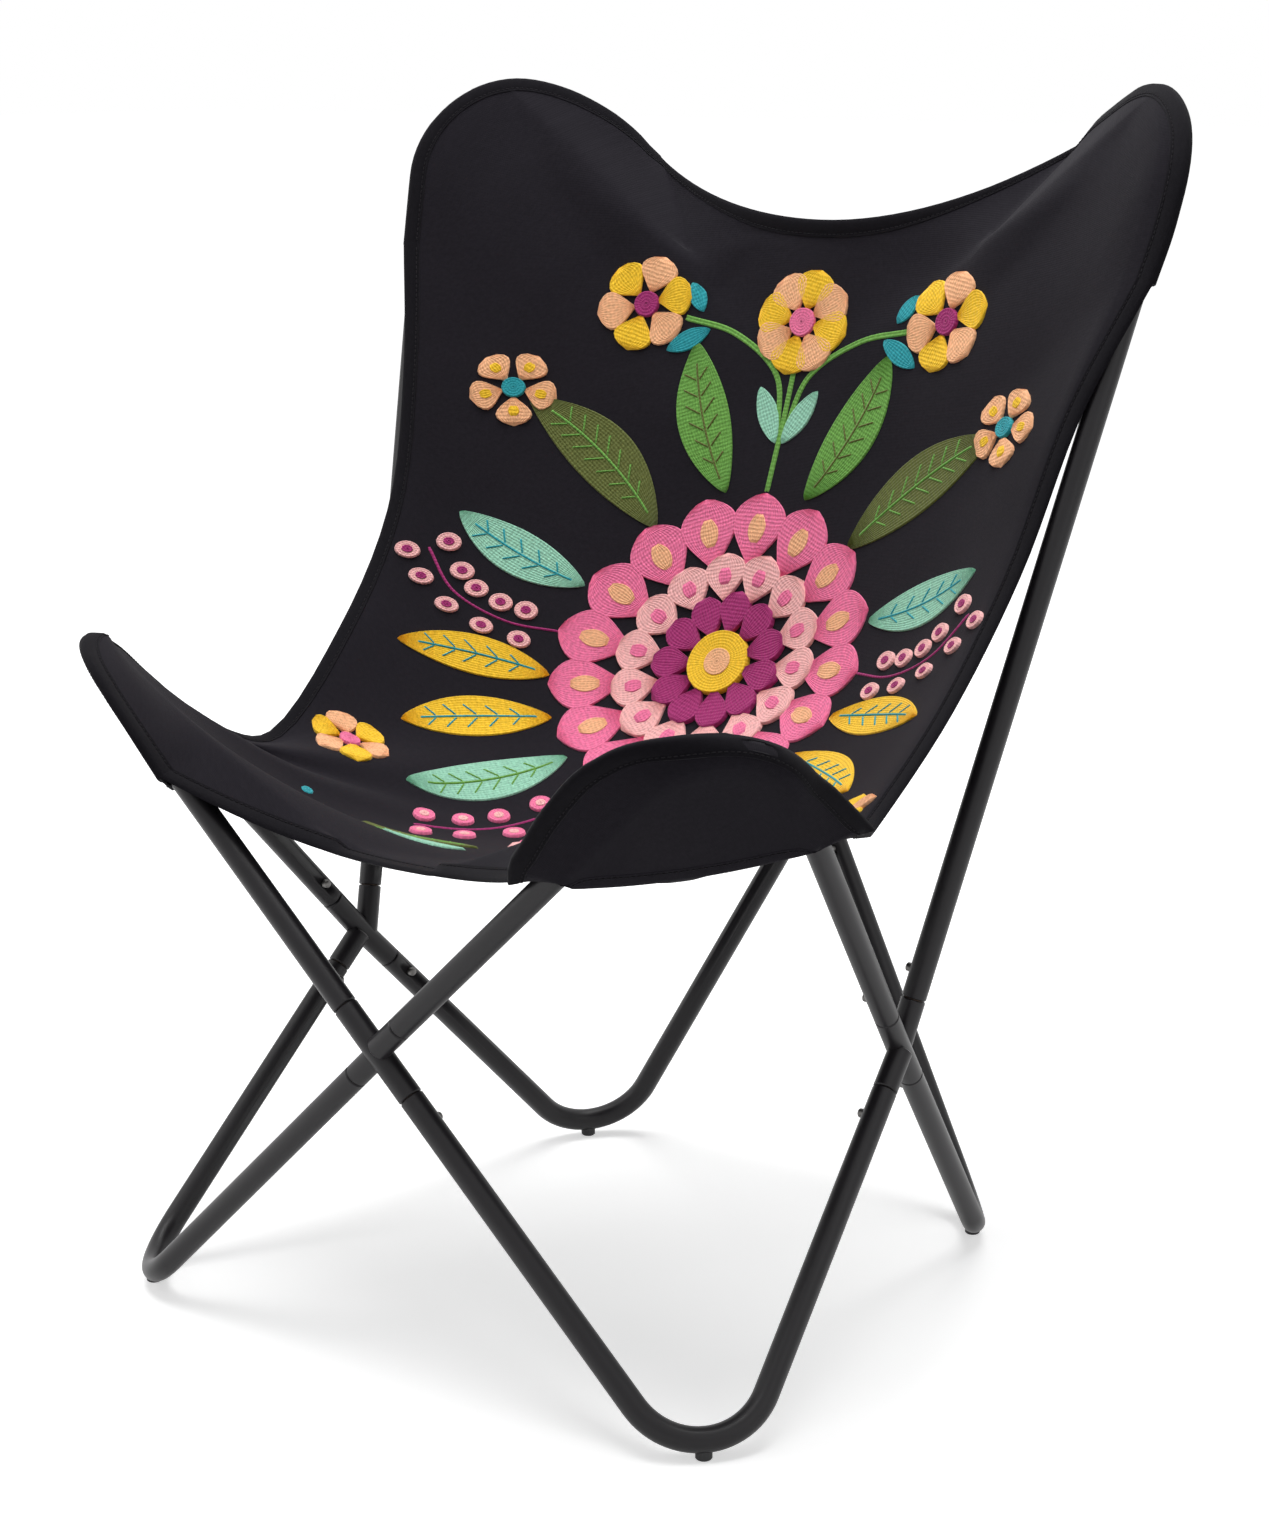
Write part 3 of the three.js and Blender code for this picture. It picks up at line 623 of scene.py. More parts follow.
def spine_at(length):
    return at_length(SPINE_RUN, SPINE_LENGTHS, length)


# A horn as the ears see it, by distance along its axis from the start of the bend on the side leg
def horn_station(laid, distance):
    bend_length = laid["radius"] * laid["turn"]
    if distance < 0 or distance > bend_length:
        i = 0 if distance < 0 else 1
        over = -distance if distance < 0 else distance - bend_length
        point = laid["starts"][i] + laid["legs"][i] * over
        return point, unit(laid["starts"][i] - laid["centre"])
    point = bend_point(laid, distance / bend_length)
    return point, unit(point - laid["centre"])


def facing_in(laid):
    normal = unit(np.cross(laid["legs"][0], laid["legs"][1]))
    seat = np.array([0.0, SEAT_LOW[0], laid["centre"][2]])
    return -normal if np.dot(normal, seat - laid["centre"]) < 0 else normal


# The rim of each ear, from its end on the side leg to its end on the other leg: share of the bend, length
# past it, margin outside the tube's axis and level towards the seat. The mouth of its pocket starts and ends
# at the two reaches.
EARS = {
    "front_left": {
        "rim": [(0, -85, 65, 6), (0, -66, 59, 6), (0, -33, 43, 6), (0, 0, 26, 6), (0.25, 0, 13, 6),
                (0.5, 0, 14.5, 5), (0.62, 0, 21, 2), (0.75, 0, 27, -1), (1, 0, 38, -3), (1, 45, 41, -5),
                (1, 86, 35, -8)],
        "mouth": (-66.0, 84.0),
    },
    "front_right": {
        "rim": [(0, -72, 40, 6), (0, -40, 31, 6), (0, -20, 25, 6), (0, 0, 17, 6), (0.25, 0, 12, 6),
                (0.5, 0, 12, 6), (0.75, 0, 20, 6), (1, 0, 40, 6), (1, 60, 43, 6), (1, 100, 35, 6),
                (1, 122, 30, 6), (1, 138, 20, 6)],
        "mouth": (-58.0, 105.0),
    },
    "back_left": {
        "rim": [(0, -62, 14, 6), (0, 0, 13, 6), (0.25, 0, 11, 6), (0.5, 0, 12, 6), (0.7, 0, 13, 6),
                (0.8, 0, 17, 6), (0.9, 0, 25, 6), (1, 0, 36, 6), (1, 16, 44, 6)],
        "mouth": (-62.0, 5.0),
    },
    "back_right": {
        "rim": [(0, -62, 24, -4), (0, -20, 23, -6), (0, 0, 21, -6), (0.25, 0, 17, -4), (0.4, 0, 14, 0),
                (0.5, 0, 13, 3), (0.6, 0, 11.5, 6), (0.7, 0, 12, 6), (0.8, 0, 18, 6), (0.9, 0, 31, 6),
                (0.975, 0, 40, 6)],
        "mouth": (-62.0, 0.0),
    },
}
LEG_STRETCH = 5.0


# A smooth value through knots
def through(knots, values, x):
    slopes = np.gradient(values, knots)
    k = int(np.clip(np.searchsorted(knots, x) - 1, 0, len(knots) - 2))
    span = knots[k + 1] - knots[k]
    t = (x - knots[k]) / span
    rise = values[k + 1] - values[k]
    bend = slopes[k] * span * t * (1 - t) ** 2 - slopes[k + 1] * span * t * t * (1 - t)
    return values[k] + rise * t * t * (3 - 2 * t) + bend


def rim_stations(laid, ear, leg_rows):
    bend_length = laid["radius"] * laid["turn"]
    knots = np.array([share * bend_length + past for share, past, _, _ in ear["rim"]])
    margins = np.array([float(knot[2]) for knot in ear["rim"]])
    levels = np.array([float(knot[3]) for knot in ear["rim"]])
    bend_end = min(bend_length, knots[-1] - LEG_STRETCH)
    distances = [knots[0] * i / EAR_SIDE_ROWS for i in range(EAR_SIDE_ROWS, 0, -1)]
    distances += [bend_end * i / EAR_ARC_ROWS for i in range(EAR_ARC_ROWS + 1)]
    distances += [mix(bend_end, knots[-1], i / leg_rows) for i in range(1, leg_rows + 1)]
    return [(d, through(knots, margins, d), through(knots, levels, d)) for d in distances]


# Cloth wrapped over the tube: on the tube, at the shoulder and at the rim. The pocket, on the other face,
# comes round the tube to meet the panel's rim.
def wrap(laid, station, face):
    distance, margin, level = station
    point, out = horn_station(laid, distance)
    normal = facing_in(laid)
    corner = CLOTH_REACH * WRAP_CORNER
    flat = max(0.0, margin - corner - RIM_DROP)
    shoulder_out = corner + flat / 2
    seam = (SEAM_GAP + CLOTH_THICKNESS) / 2

    def at(o, u):
        return point + out * o + normal * u

    if face > 0:
        shoulder_up = mix(CLOTH_REACH, level + seam, (shoulder_out / margin) ** SHOULDER_CURVE)
        return [at(0, CLOTH_REACH), at(shoulder_out, shoulder_up), at(margin, level + seam)]
    side_out = max(shoulder_out, CLOTH_REACH * SIDE_OUT)
    straight_up = mix(-CLOTH_REACH, level - seam, side_out / margin)
    round_up = -CLOTH_REACH * SIDE_DOWN + (level + CLOTH_REACH) * flat / 2 / margin
    return [at(0, -CLOTH_REACH), at(side_out, min(straight_up, round_up)), at(margin, level - seam)]


# The tight line from the tip of a front horn to the middle of the front hem
def lift_ridge(rows, first, last, inward):
    low = rows[first][0].copy()
    high = rows[last][0].copy()
    for i in range(first + 1, last):
        t = (rows[i][0][0] - low[0]) / (high[0] - low[0])
        ridge = mix(low, high, t)
        ridge[2] += RIDGE_BOW * 4 * t * (1 - t)
        halfway = mix(ridge, rows[i][2], 0.5)
        height = float(np.dot(halfway - rows[i][0], inward))
        if height < RIDGE_CLEARANCE:
            halfway = halfway + inward * (RIDGE_CLEARANCE - height)
        rows[i] = [ridge, halfway, rows[i][2]]


# The tight line from the tip of a back horn towards the middle of the back
def lay_crease(band, end, inward):
    top = EAR_SIDE_ROWS + EAR_ARC_ROWS // 2
    start = band[top][0]
    for i in range(top + 1, len(band)):
        t = (i - top) / (len(band) - 1 - top)
        contact, _, rim = band[i]
        crease = mix(start, end, t)
        halfway = mix(contact, mix(crease, rim, 0.5), smooth(t))
        height = float(np.dot(halfway - contact, inward))
        if height < 0:
            halfway = halfway - inward * height * (1 - smooth((t - CREASE_FADE_START) / CREASE_FADE))
        band[i] = [crease, halfway, rim]


def edge_rows_of(side):
    sign = -1 if side == "left" else 1
    front = LAID[f"horn_front_{side}"]
    back = LAID[f"horn_back_{side}"]
    back_in = facing_in(back)
    front_rim = rim_stations(front, EARS[f"front_{side}"], EAR_LEG_ROWS)
    back_rim = rim_stations(back, EARS[f"back_{side}"], BACK_LEG_ROWS)
    front_band = [wrap(front, station, 1) for station in reversed(front_rim)]
    back_band = [wrap(back, station, 1) for station in back_rim]
    lay_crease(back_band, np.array(CREASE_ENDS[side]), back_in)

    def pulled(point, inner, near, pull):
        direction = unit(inner - point)
        plain = [point + direction * HEM_BAND, point + direction * HEM_BAND / 2]
        pull = pull ** PULL_POWER
        return [*(mix(p, near[k] - near[2] + point, pull) for k, p in enumerate(plain)), point]

    def bow(centre, end, share):
        return np.array([sign * abs(end[0]) * share, centre[1], centre[2]])

    hem_end = front_band[0][2]
    neck_end = back_band[-1][2]
    leg_point, leg_out = horn_station(back, -EDGE_LEG_REACH)
    edge = [
        front_band[-1][2],
        *(np.array(point) for point in EDGE_POINTS[side]),
        leg_point + leg_out * EDGE_LEG_OUT + back_in * (CLOTH_REACH + EDGE_LEG_GAP),
        back_band[0][2],
    ]
    rows = []
    hem_bow = bow(HEM_CENTRE, hem_end, HEM_BOW)
    for i in range(HEM_ROWS):
        t = i / HEM_ROWS
        point = bezier(HEM_CENTRE, hem_bow, hem_end, t)
        rows.append(pulled(point, np.array([point[0], SEAT_LOW[0], point[2]]), front_band[0], t))
    rows += front_band
    lift_ridge(rows, REFINE, HEM_ROWS + EAR_LEG_ROWS + EAR_ARC_ROWS // 2, facing_in(front))
    for i in range(1, EDGE_ROWS):
        t = i / EDGE_ROWS
        point = catmull_rom(edge, t)
        inner = np.array([0.0, point[1] + EDGE_PULL[0], point[2] + EDGE_PULL[1]])
        near = front_band[-1] if t < 0.5 else back_band[0]
        rows.append(pulled(point, inner, near, abs(2 * t - 1)))
    rows += back_band
    neck_bow = bow(NECK_CENTRE, neck_end, NECK_BOW)
    for i in range(1, NECK_ROWS + 1):
        t = i / NECK_ROWS
        point = bezier(neck_end, neck_bow, NECK_CENTRE, t)
        inner = np.array([point[0] * NECK_PULL[0], point[1] + NECK_PULL[1], point[2] + NECK_PULL[2]])
        rows.append(pulled(point, inner, back_band[-1], 1 - t))
    return rows


FRONT_EAR_ROWS = EAR_LEG_ROWS + EAR_ARC_ROWS + EAR_SIDE_ROWS
BACK_EAR_ROWS = EAR_SIDE_ROWS + EAR_ARC_ROWS + BACK_LEG_ROWS


def spine_share(row):
    left = row
    stretches = (HEM_ROWS, FRONT_EAR_ROWS, EDGE_ROWS, BACK_EAR_ROWS, NECK_ROWS)
    for rows, low, high in zip(stretches, SPINE_STARTS, SPINE_STARTS[1:]):
        if left <= rows:
            return low + (high - low) * left / rows
        left -= rows
    return SPINE_STARTS[-1]


# The net of the sling: rows from the left edge over the spine to the right edge
def sling_net():
    halves = [edge_rows_of(side) for side in SIDES]
    count = len(halves[0])
    net = []
    for i in range(count):
        t = i / (count - 1)
        root = spine_at(spine_share(i) * SPINE_LENGTHS[-1])
        hollow = 1 + SLING_HOLLOW * math.sin(math.pi * t)
        rise = hollow + FRONT_FOLD * math.sin(math.pi * min(1.0, t / FRONT_FOLD_END)) ** 2
        runs = []
        for half in halves:
            band = half[i]
            run = []
            for k in range(1, ACROSS_STEPS + 1):
                u = k / ACROSS_STEPS
                point = mix(root, band[0], u ** hollow)
                point[0] = root[0] + (band[0][0] - root[0]) * u
                point[2] = root[2] + (band[0][2] - root[2]) * u ** rise
                run.append(point)
            tail = [run[-2], *band]
            for k in range(1, BAND + 1):
                run.append(catmull_rom(tail, (1 + k / BAND_STEPS) / 3))
            runs.append(run)
        net.append([*reversed(runs[0]), root, *runs[1]])
    return np.array(net)


# Evens out the free cloth. The first and last rows are doubled, so the next row's two halves are beside them.
def relaxed(net, rounds, share, keep_last):
    inner = slice(keep_last, net.shape[1] - keep_last)
    middle = net.shape[1] // 2
    for _ in range(rounds):
        around = net.copy()
        around[1:-1] = (net[:-2] + net[2:]) / 2
        sides = net.copy()
        sides[:, 1:-1] = (net[:, :-2] + net[:, 2:]) / 2
        for end, following in ((0, 1), (-1, -2)):
            around[end] = (net[following] + net[following, ::-1]) / 2
            sides[end, middle] = net[end, middle]
        target = (around + sides) / 2
        moved = net.copy()
        moved[:, inner] = mix(net[:, inner], target[:, inner], share)
        net = moved
    return net


def grid_normals(net, doubled=False):
    normal = np.cross(np.gradient(net, axis=1), np.gradient(net, axis=0))
    if doubled:
        middle = net.shape[1] // 2
        for i in (0, -1):
            normal[i] = normal[i] + normal[i, ::-1]
            normal[i, middle] = normal[i, middle + 1]
    length = np.linalg.norm(normal, axis=2, keepdims=True)
    return normal / np.maximum(length, TINY)


# Cloth maps. On the panel: distance from the middle along each row, and distance round a point above the seat
# that the cloth curves about. On strips and pockets: distance along and across.
CURVE_CENTRE = (-140.0, 760.0)
CURVE_RADIUS = 400.0


def across_lengths(net):
    steps = np.linalg.norm(np.diff(net, axis=1), axis=2)
    return np.concatenate([np.zeros((len(net), 1)), np.cumsum(steps, axis=1)], axis=1)


def panel_map(net):
    across = across_lengths(net)
    across -= across[:, [net.shape[1] // 2]]
    around = CURVE_RADIUS * np.arctan2(net[..., 1] - CURVE_CENTRE[0], CURVE_CENTRE[1] - net[..., 2])
    return np.stack([across, around], 2).reshape(-1, 2) * MM


def strip_map(net):
    along = np.linalg.norm(np.diff(net, axis=0), axis=2).mean(1)
    along = np.concatenate([[0], np.cumsum(along)])[:, None] + np.zeros(net.shape[:2])
    return np.stack([along, across_lengths(net)], 2).reshape(-1, 2) * MM


def give_map(obj, coordinates):
    layer = obj.data.uv_layers.new(name="cloth")
    loops = np.zeros(len(obj.data.loops), int)
    obj.data.loops.foreach_get("vertex_index", loops)
    layer.data.foreach_set("uv", coordinates[loops].astype(np.float32).ravel())


def grid_faces(rows, columns):
    corners = [i * columns + j for i in range(rows - 1) for j in range(columns - 1)]
    return [(k, k + 1, k + columns + 1, k + columns) for k in corners]


# A closed sheet about a net of points, sewn to itself where its first and last rows are doubled
def sheet_object(name, net, coordinates, flip=False):
    faces = grid_faces(*net.shape[:2])
    if flip:
        faces = [tuple(reversed(face)) for face in faces]
    obj = make_object(name, net.reshape(-1, 3), faces, cloth, angle=75.0)
    give_map(obj, coordinates)
    work = bmesh.new()
    work.from_mesh(obj.data)
    bmesh.ops.remove_doubles(work, verts=work.verts, dist=SEWN_WITHIN)
    work.to_mesh(obj.data)
    work.free()
    solid = obj.modifiers.new("thickness", "SOLIDIFY")
    solid.thickness = CLOTH_THICKNESS * MM
    solid.offset = 0.0
    solid.use_even_offset = False
    apply_modifiers(obj)
    return obj


# Folds of the sling: points, height and width on either side of the ridge
FOLDS = [
    ([(-281, 262, 905), (-205, 268, 850), (-129, 271, 796), (-90, 264, 770)], 5.0, 90.0, 50.0),
    ([(300, 240, 890), (255, 250, 862), (197, 266, 830), (160, 268, 812)], 4.0, 45.0, 60.0),
    ([(336, 207, 882), (336, 196, 861), (329, 188, 831), (326, 179, 804), (324, 168, 780)], 3.5, 40.0, 22.0),
    ([(-306, 250, 872), (-262, 196, 660)], 2.5, 60.0, 60.0),
    ([(296, -196, 455), (150, -60, 372)], 2.5, 60.0, 60.0),
    ([(-296, -196, 455), (-150, -60, 372)], 2.5, 60.0, 60.0),
]
FOLD_FADE = 0.2
FOLD_POWER = 1.6
RELAX_ROUNDS = 10
RELAX_SHARE = 0.5
BAND_FADE = 4
SWAY_HEIGHT = 1.1
SWAY_WAVES = ((0.021, 0.0, 0.011), (0.0, 0.017, -0.013), (0.043, -0.031, 0.0))
SWAY_START = 0.6
SWAY_RIPPLE = 0.5


# A tight ridge along a line through points, with its own width on either side, fading out towards both ends
def fold(net, normals, points, height, left, right):
    points = np.array(points, float)
    lengths = run_lengths(points)
    nearest = np.full(net.shape[:2], np.inf)
    across = np.zeros(net.shape[:2])
    place = np.zeros(net.shape[:2])
    for k, (a, b) in enumerate(zip(points, points[1:])):
        run = b - a
        t = np.clip(((net - a) @ run) / float(run @ run), 0.0, 1.0)
        offset = net - (a + t[..., None] * run)
        away = np.linalg.norm(offset, axis=2)
        side = np.sign(np.einsum("ijk,ijk->ij", np.cross(run, offset), normals))
        closer = away < nearest
        nearest = np.where(closer, away, nearest)
        across = np.where(closer, side, across)
        place = np.where(closer, (lengths[k] + t * np.linalg.norm(run)) / lengths[-1], place)
    width = np.where(across > 0, left, right)
    fade = np.clip(place / FOLD_FADE, 0, 1) * np.clip((1 - place) / FOLD_FADE, 0, 1)
    lift = height * np.clip(1 - nearest / width, 0, 1) ** FOLD_POWER * np.sqrt(fade)
    return net + normals * lift[..., None]


# The sling's net with its folds and slow waves, which leave the sewn bands as they are
def sling_surface():
    surface = relaxed(sling_net(), RELAX_ROUNDS, RELAX_SHARE, BAND + 1)
    normals = grid_normals(surface, doubled=True)
    free_cloth = np.ones(surface.shape[:2])
    for k in range(BAND + BAND_FADE):
        free_cloth[:, k] = max(0.0, (k - BAND) / BAND_FADE)
        free_cloth[:, -1 - k] = free_cloth[:, k]
    folded = surface
    for points, height, left, right in FOLDS:
        folded = fold(folded, normals, points, height, left, right)
    broad, crossing, ripple = (surface @ np.array(wave) for wave in SWAY_WAVES)
    sway = np.sin(broad + SWAY_START) * np.sin(crossing) + SWAY_RIPPLE * np.sin(ripple)
    folded = folded + normals * (SWAY_HEIGHT * sway)[..., None]
    return mix(surface, folded, free_cloth[..., None])


def flat_area(net):
    along = np.diff(net, axis=0)[:, :-1]
    across = np.diff(net, axis=1)[:-1]
    return float(np.linalg.norm(np.cross(along, across), axis=2).sum()) * MM * MM


# Binding: tape folded over an edge, from its inner border on one face round to the other face. Each step is a
# distance from the edge and a share of the tape's thickness.
TAPE_THICKNESS = 0.9
MOUTH_THICKNESS = 0.35
TAPE_STEPS = (
    (13.6, -0.1), (13.2, 0.75), (11.9, 0.8), (11.2, 0.3), (10.6, 0.3), (9.6, 0.95), (3.0, 1.0), (0.6, 0.9),
)
TAPE_TURN = 4.0
TAPE_ROUND = 0.3
STITCH_INSET = 10.9
STITCH_LENGTH = 3.1
STITCH_PITCH = 4.2
STITCH_RADIUS = 0.42
STITCH_LIFT = 0.75
STITCH_SIDES = 6
STITCH_PROFILE = ((0.0, 0.4), (0.2, 1.0), (0.8, 1.0), (1.0, 0.4))


def inset(points, distance):
    return at_length(points, run_lengths(points), distance)


def inset_normal(normals, points, distance):
    return unit(at_length(normals, run_lengths(points), distance))


def tape_section(upper, upper_out, lower, lower_out, thickness):
    def face(points, normals, distance, share):
        height = CLOTH_THICKNESS / 2 + thickness * share
        return inset(points, distance) + inset_normal(normals, points, distance) * height

    edge = (upper[0] + lower[0]) / 2
    outward = unit(upper[0] - inset(upper, TAPE_TURN))
    return [
        *(face(upper, upper_out, *step) for step in TAPE_STEPS),
        edge + outward * (thickness + TAPE_ROUND),
        *(face(lower, lower_out, *step) for step in reversed(TAPE_STEPS)),
    ]


def binding(name, rows, thickness, material):
    sections = [tape_section(*row, thickness) for row in rows]
    piece = make_object(name, *loft(sections, closed_ends=True), material, angle=60.0)
    give_map(piece, strip_map(np.array(sections)))
    return piece


# Runs of stitches along lines of points, each a small rounded bar lying on the cloth
def stitches(lines):
    parts = []
    for points, normals in lines:
        lengths = run_lengths(points)
        for start in np.arange(STITCH_PITCH / 2, lengths[-1] - STITCH_LENGTH, STITCH_PITCH):
            first, last = (at_length(points, lengths, d) for d in (start, start + STITCH_LENGTH))
            out = unit(at_length(normals, lengths, start))
            run = unit(last - first)
            rings = []
            for t, size in STITCH_PROFILE:
                rings.append(ring(mix(first, last, t), run, out, STITCH_RADIUS * size, STITCH_SIDES))
            parts.append(loft(rings, closed_ends=True))
    return join(parts)


def stitch_line(rows, face):
    height = CLOTH_THICKNESS / 2 + TAPE_THICKNESS * STITCH_LIFT
    points = []
    normals = []
    for row in rows:
        line, out = row[:2] if face > 0 else row[2:]
        normal = inset_normal(out, line, STITCH_INSET)
        points.append(inset(line, STITCH_INSET) + normal * height)
        normals.append(normal)
    return np.array(points), np.array(normals)


# Pockets on the outer faces of the horns, open below. Past the ends of its mouth a pocket is cut on a slant.
def pocket_net(laid, ear, leg_rows):
    stations = rim_stations(laid, ear, leg_rows)
    inward = facing_in(laid)
    first = ear["mouth"][0]
    last = laid["radius"] * laid["turn"] + ear["mouth"][1]
    inner = []
    for reach in (first, last):
        point, out = horn_station(laid, reach)
        inner.append(point - out * TUBE_RADIUS - inward * CLOTH_REACH)
    rows = []
    for k, (distance, margin, level) in enumerate(stations):
        t = k / (len(stations) - 1)
        held = min(max(distance, first), last)
        contact, shoulder, _ = wrap(laid, (held, margin, level), -1)
        _, own_shoulder, rim = wrap(laid, (distance, margin, level), -1)
        shoulder = mix(own_shoulder, shoulder, POCKET_SLANT)
        mouth = mix(inner[0], inner[1], t) + laid["inwards"] * (POCKET_BOW * 4 * t * (1 - t))
        curve = [rim, shoulder, contact, mix(contact, mouth, POCKET_LEAD)]
        run = [catmull_rom(curve, i / BAND_STEPS / 3) for i in range(BAND)]
        run += [mix(contact, mouth, i / POCKET_STEPS) for i in range(POCKET_STEPS + 1)]
        rows.append(run)
    return np.array(rows)


def facing_normals(net, outward):
    normals = grid_normals(net)
    signs = np.sign(normals @ outward)
    signs[signs == 0] = 1
    return normals * signs[..., None]


net = sling_surface()
net_normals = grid_normals(net, doubled=True)
panel = sheet_object("sling_cloth", net, panel_map(net))
FRONT_EAR_FIRST = HEM_ROWS
FRONT_EAR_LAST = FRONT_EAR_FIRST + FRONT_EAR_ROWS
BACK_EAR_FIRST = FRONT_EAR_LAST + EDGE_ROWS
BACK_EAR_LAST = BACK_EAR_FIRST + BACK_EAR_ROWS
LAST_ROW = len(net) - 1


# Points and normals of the panel's two faces next to its edge
def edge_row(i, side):
    order = slice(None) if side == "left" else slice(None, None, -1)
    line = net[i][order][:BINDING_STEPS]
    out = net_normals[i][order][:BINDING_STEPS]
    return line, out, line, -out


def plain_rows(first, last, side):
    return [edge_row(i, side) for i in range(first, last + 1)]


hem_rows = plain_rows(0, FRONT_EAR_FIRST, "left")[::-1] + plain_rows(1, FRONT_EAR_FIRST, "right")
neck_rows = plain_rows(BACK_EAR_LAST, LAST_ROW, "left")
neck_rows += plain_rows(BACK_EAR_LAST, LAST_ROW - 1, "right")[::-1]
strips = {"front_hem": hem_rows, "neck_hem": neck_rows}
for side in SIDES:
    strips[f"{side}_edge_hem"] = plain_rows(FRONT_EAR_LAST, BACK_EAR_FIRST, side)

pocket_pieces = {}
for side in SIDES:
    for end in ("front", "back"):
        laid = LAID[f"horn_{end}_{side}"]
        pocket = pocket_net(laid, EARS[f"{end}_{side}"], EAR_LEG_ROWS if end == "front" else BACK_LEG_ROWS)
        outward = -facing_in(laid)
        normals = facing_normals(pocket, outward)
        flip = float(np.dot(grid_normals(pocket)[POCKET_SAMPLE], outward)) < 0
        name = f"pocket_{end}_{side}"
        piece = sheet_object(f"{name}_cloth", pocket, strip_map(pocket), flip)
        pocket_pieces[name] = (piece, flat_area(pocket))
        first = FRONT_EAR_FIRST if end == "front" else BACK_EAR_FIRST
        order = range(len(pocket) - 1, -1, -1) if end == "front" else range(len(pocket))
        rows = []
        for k, station in enumerate(order):
            line, out, _, _ = edge_row(first + k, side)
            rows.append((line, out, pocket[station], normals[station]))
        strips[f"{end}_{side}_ear_binding"] = rows
        mouth = [(line[::-1], out[::-1], line[::-1], -out[::-1]) for line, out in zip(pocket, normals)]
        strips[f"{end}_{side}_pocket_hem"] = mouth

trims = []
seams = []
for name, rows in strips.items():
    if "pocket" in name:
        trims.append(binding(name, rows, MOUTH_THICKNESS, cloth))
    else:
        trims.append(binding(name, rows, TAPE_THICKNESS, tape))
    seams.append(stitch_line(rows, 1))
    seams.append(stitch_line(rows, -1))
seam = make_object("hem_stitching", *stitches(seams), thread, angle=60.0)
give_map(seam, np.array([(v.co.x + v.co.y, v.co.z) for v in seam.data.vertices]))
trims.append(seam)

# Embroidery: rows of chain stitch on the sling's upper face. A place in the design is given by its sideways
# distance from the middle and its distance along the spine from the front hem.
STITCH_ROW = 2.7
STITCH_STEP = 3.2
FEWEST_STEPS = 6
ROW_COLUMNS = 4
YARN_SINK = -0.25
YARN_BASE = 0.35
YARN_CROWN = 0.5
YARN_LAYER = 0.55
CAST_HEIGHT = 260.0
SPINE_STEP = 12.0
PATH_STEP = 0.01
BERRY_STEP = 0.02
BERRY_OUT = 1.7
BERRY_MIDDLE = 0.5
LEAF_ROUND = 0.75
PETAL_BLUNT = 1.5
TONGUE_START = 0.3
TONGUE_LENGTH = 0.45
TONGUE_WIDTH = 0.34
BLOSSOM_HEART = 0.22
BLOSSOM_PETAL = 0.8
BLOSSOM_BUTTON = 0.27
VEIN_START = 0.08
VEIN_REACH = 0.8
VEIN_HALF = 0.55
SIDE_VEIN_START = 0.2
SIDE_VEIN_SPAN = 0.55
SIDE_VEIN_REACH = 0.36
SIDE_VEIN_LEAST = 3
SIDE_VEIN_SLANT = 0.85
SIDE_VEIN_HALF = 0.42
COLOURS = {
    "pink": (0.84, 0.17, 0.34),
    "plum": (0.34, 0.012, 0.14),
    "blush": (0.90, 0.46, 0.45),
    "peach": (0.90, 0.46, 0.24),
    "gold": (0.92, 0.54, 0.012),
    "teal": (0.008, 0.31, 0.36),
    "mint": (0.29, 0.60, 0.44),
    "leaf": (0.13, 0.34, 0.05),
    "olive": (0.10, 0.12, 0.018),
}
embroidery = {colour: [] for colour in COLOURS}
cloth_tree = BVHTree.FromObject(panel, bpy.context.evaluated_depsgraph_get())


def on_cloth(place):
    x, s = place
    ahead = unit(spine_at(s + SPINE_STEP) - spine_at(s - SPINE_STEP))
    normal = np.array([0.0, -ahead[2], ahead[1]])
    start = spine_at(s) + normal * CAST_HEIGHT + np.array([x, 0.0, 0.0])
    hit, out, _, _ = cloth_tree.ray_cast(Vector(start * MM), Vector(-normal))
    if hit is None:
        return None
    out = np.array(out)
    return np.array(hit) / MM, out if np.dot(out, normal) > 0 else -out


# One patch of stitching: shape(a, b) gives a place for a from 0 to 1 along the rows and b from -1 to 1 across
def patch(colour, shape, rows, length, layer=0, looped=False):
    steps = max(FEWEST_STEPS, int(length / STITCH_STEP))
    columns = rows * ROW_COLUMNS
    verts = []
    uvs = []
    for i in range(steps + 1):
        a = i / steps
        for j in range(columns + 1):
            b = -1 + 2 * j / columns
            found = on_cloth(shape(a, b))
            if found is None:
                return
            point, out = found
            border = abs(b) == 1 or (not looped and i in (0, steps))
            crown = abs(math.sin(math.pi * rows * (b + 1) / 2))
            height = YARN_SINK if border else YARN_BASE + YARN_CROWN * crown + layer * YARN_LAYER
            verts.append(point + out * height)
            uvs.append((b * rows * STITCH_ROW / 2 * MM, a * length * MM))
    embroidery[colour].append((verts, grid_faces(steps + 1, columns + 1), uvs))


def turned(centre, angle, along, across):
    c = math.cos(angle)
    s = math.sin(angle)
    return centre[0] + along * s + across * c, centre[1] + along * c - across * s


def arched(bow, t):
    return bow * 4 * t * (1 - t)


# A leaf from its base to its tip, bowed sideways, with stitch rows that run from end to end
def leaf(colour, base, angle, length, width, bow=0.0, blunt=1.0, layer=0):
    def shape(a, b):
        half = width / 2 * math.sin(math.pi * a ** blunt) ** LEAF_ROUND
        return turned(base, angle, length * a, arched(bow, a) + b * half)

    patch(colour, shape, max(2, round(width / STITCH_ROW)), length, layer)


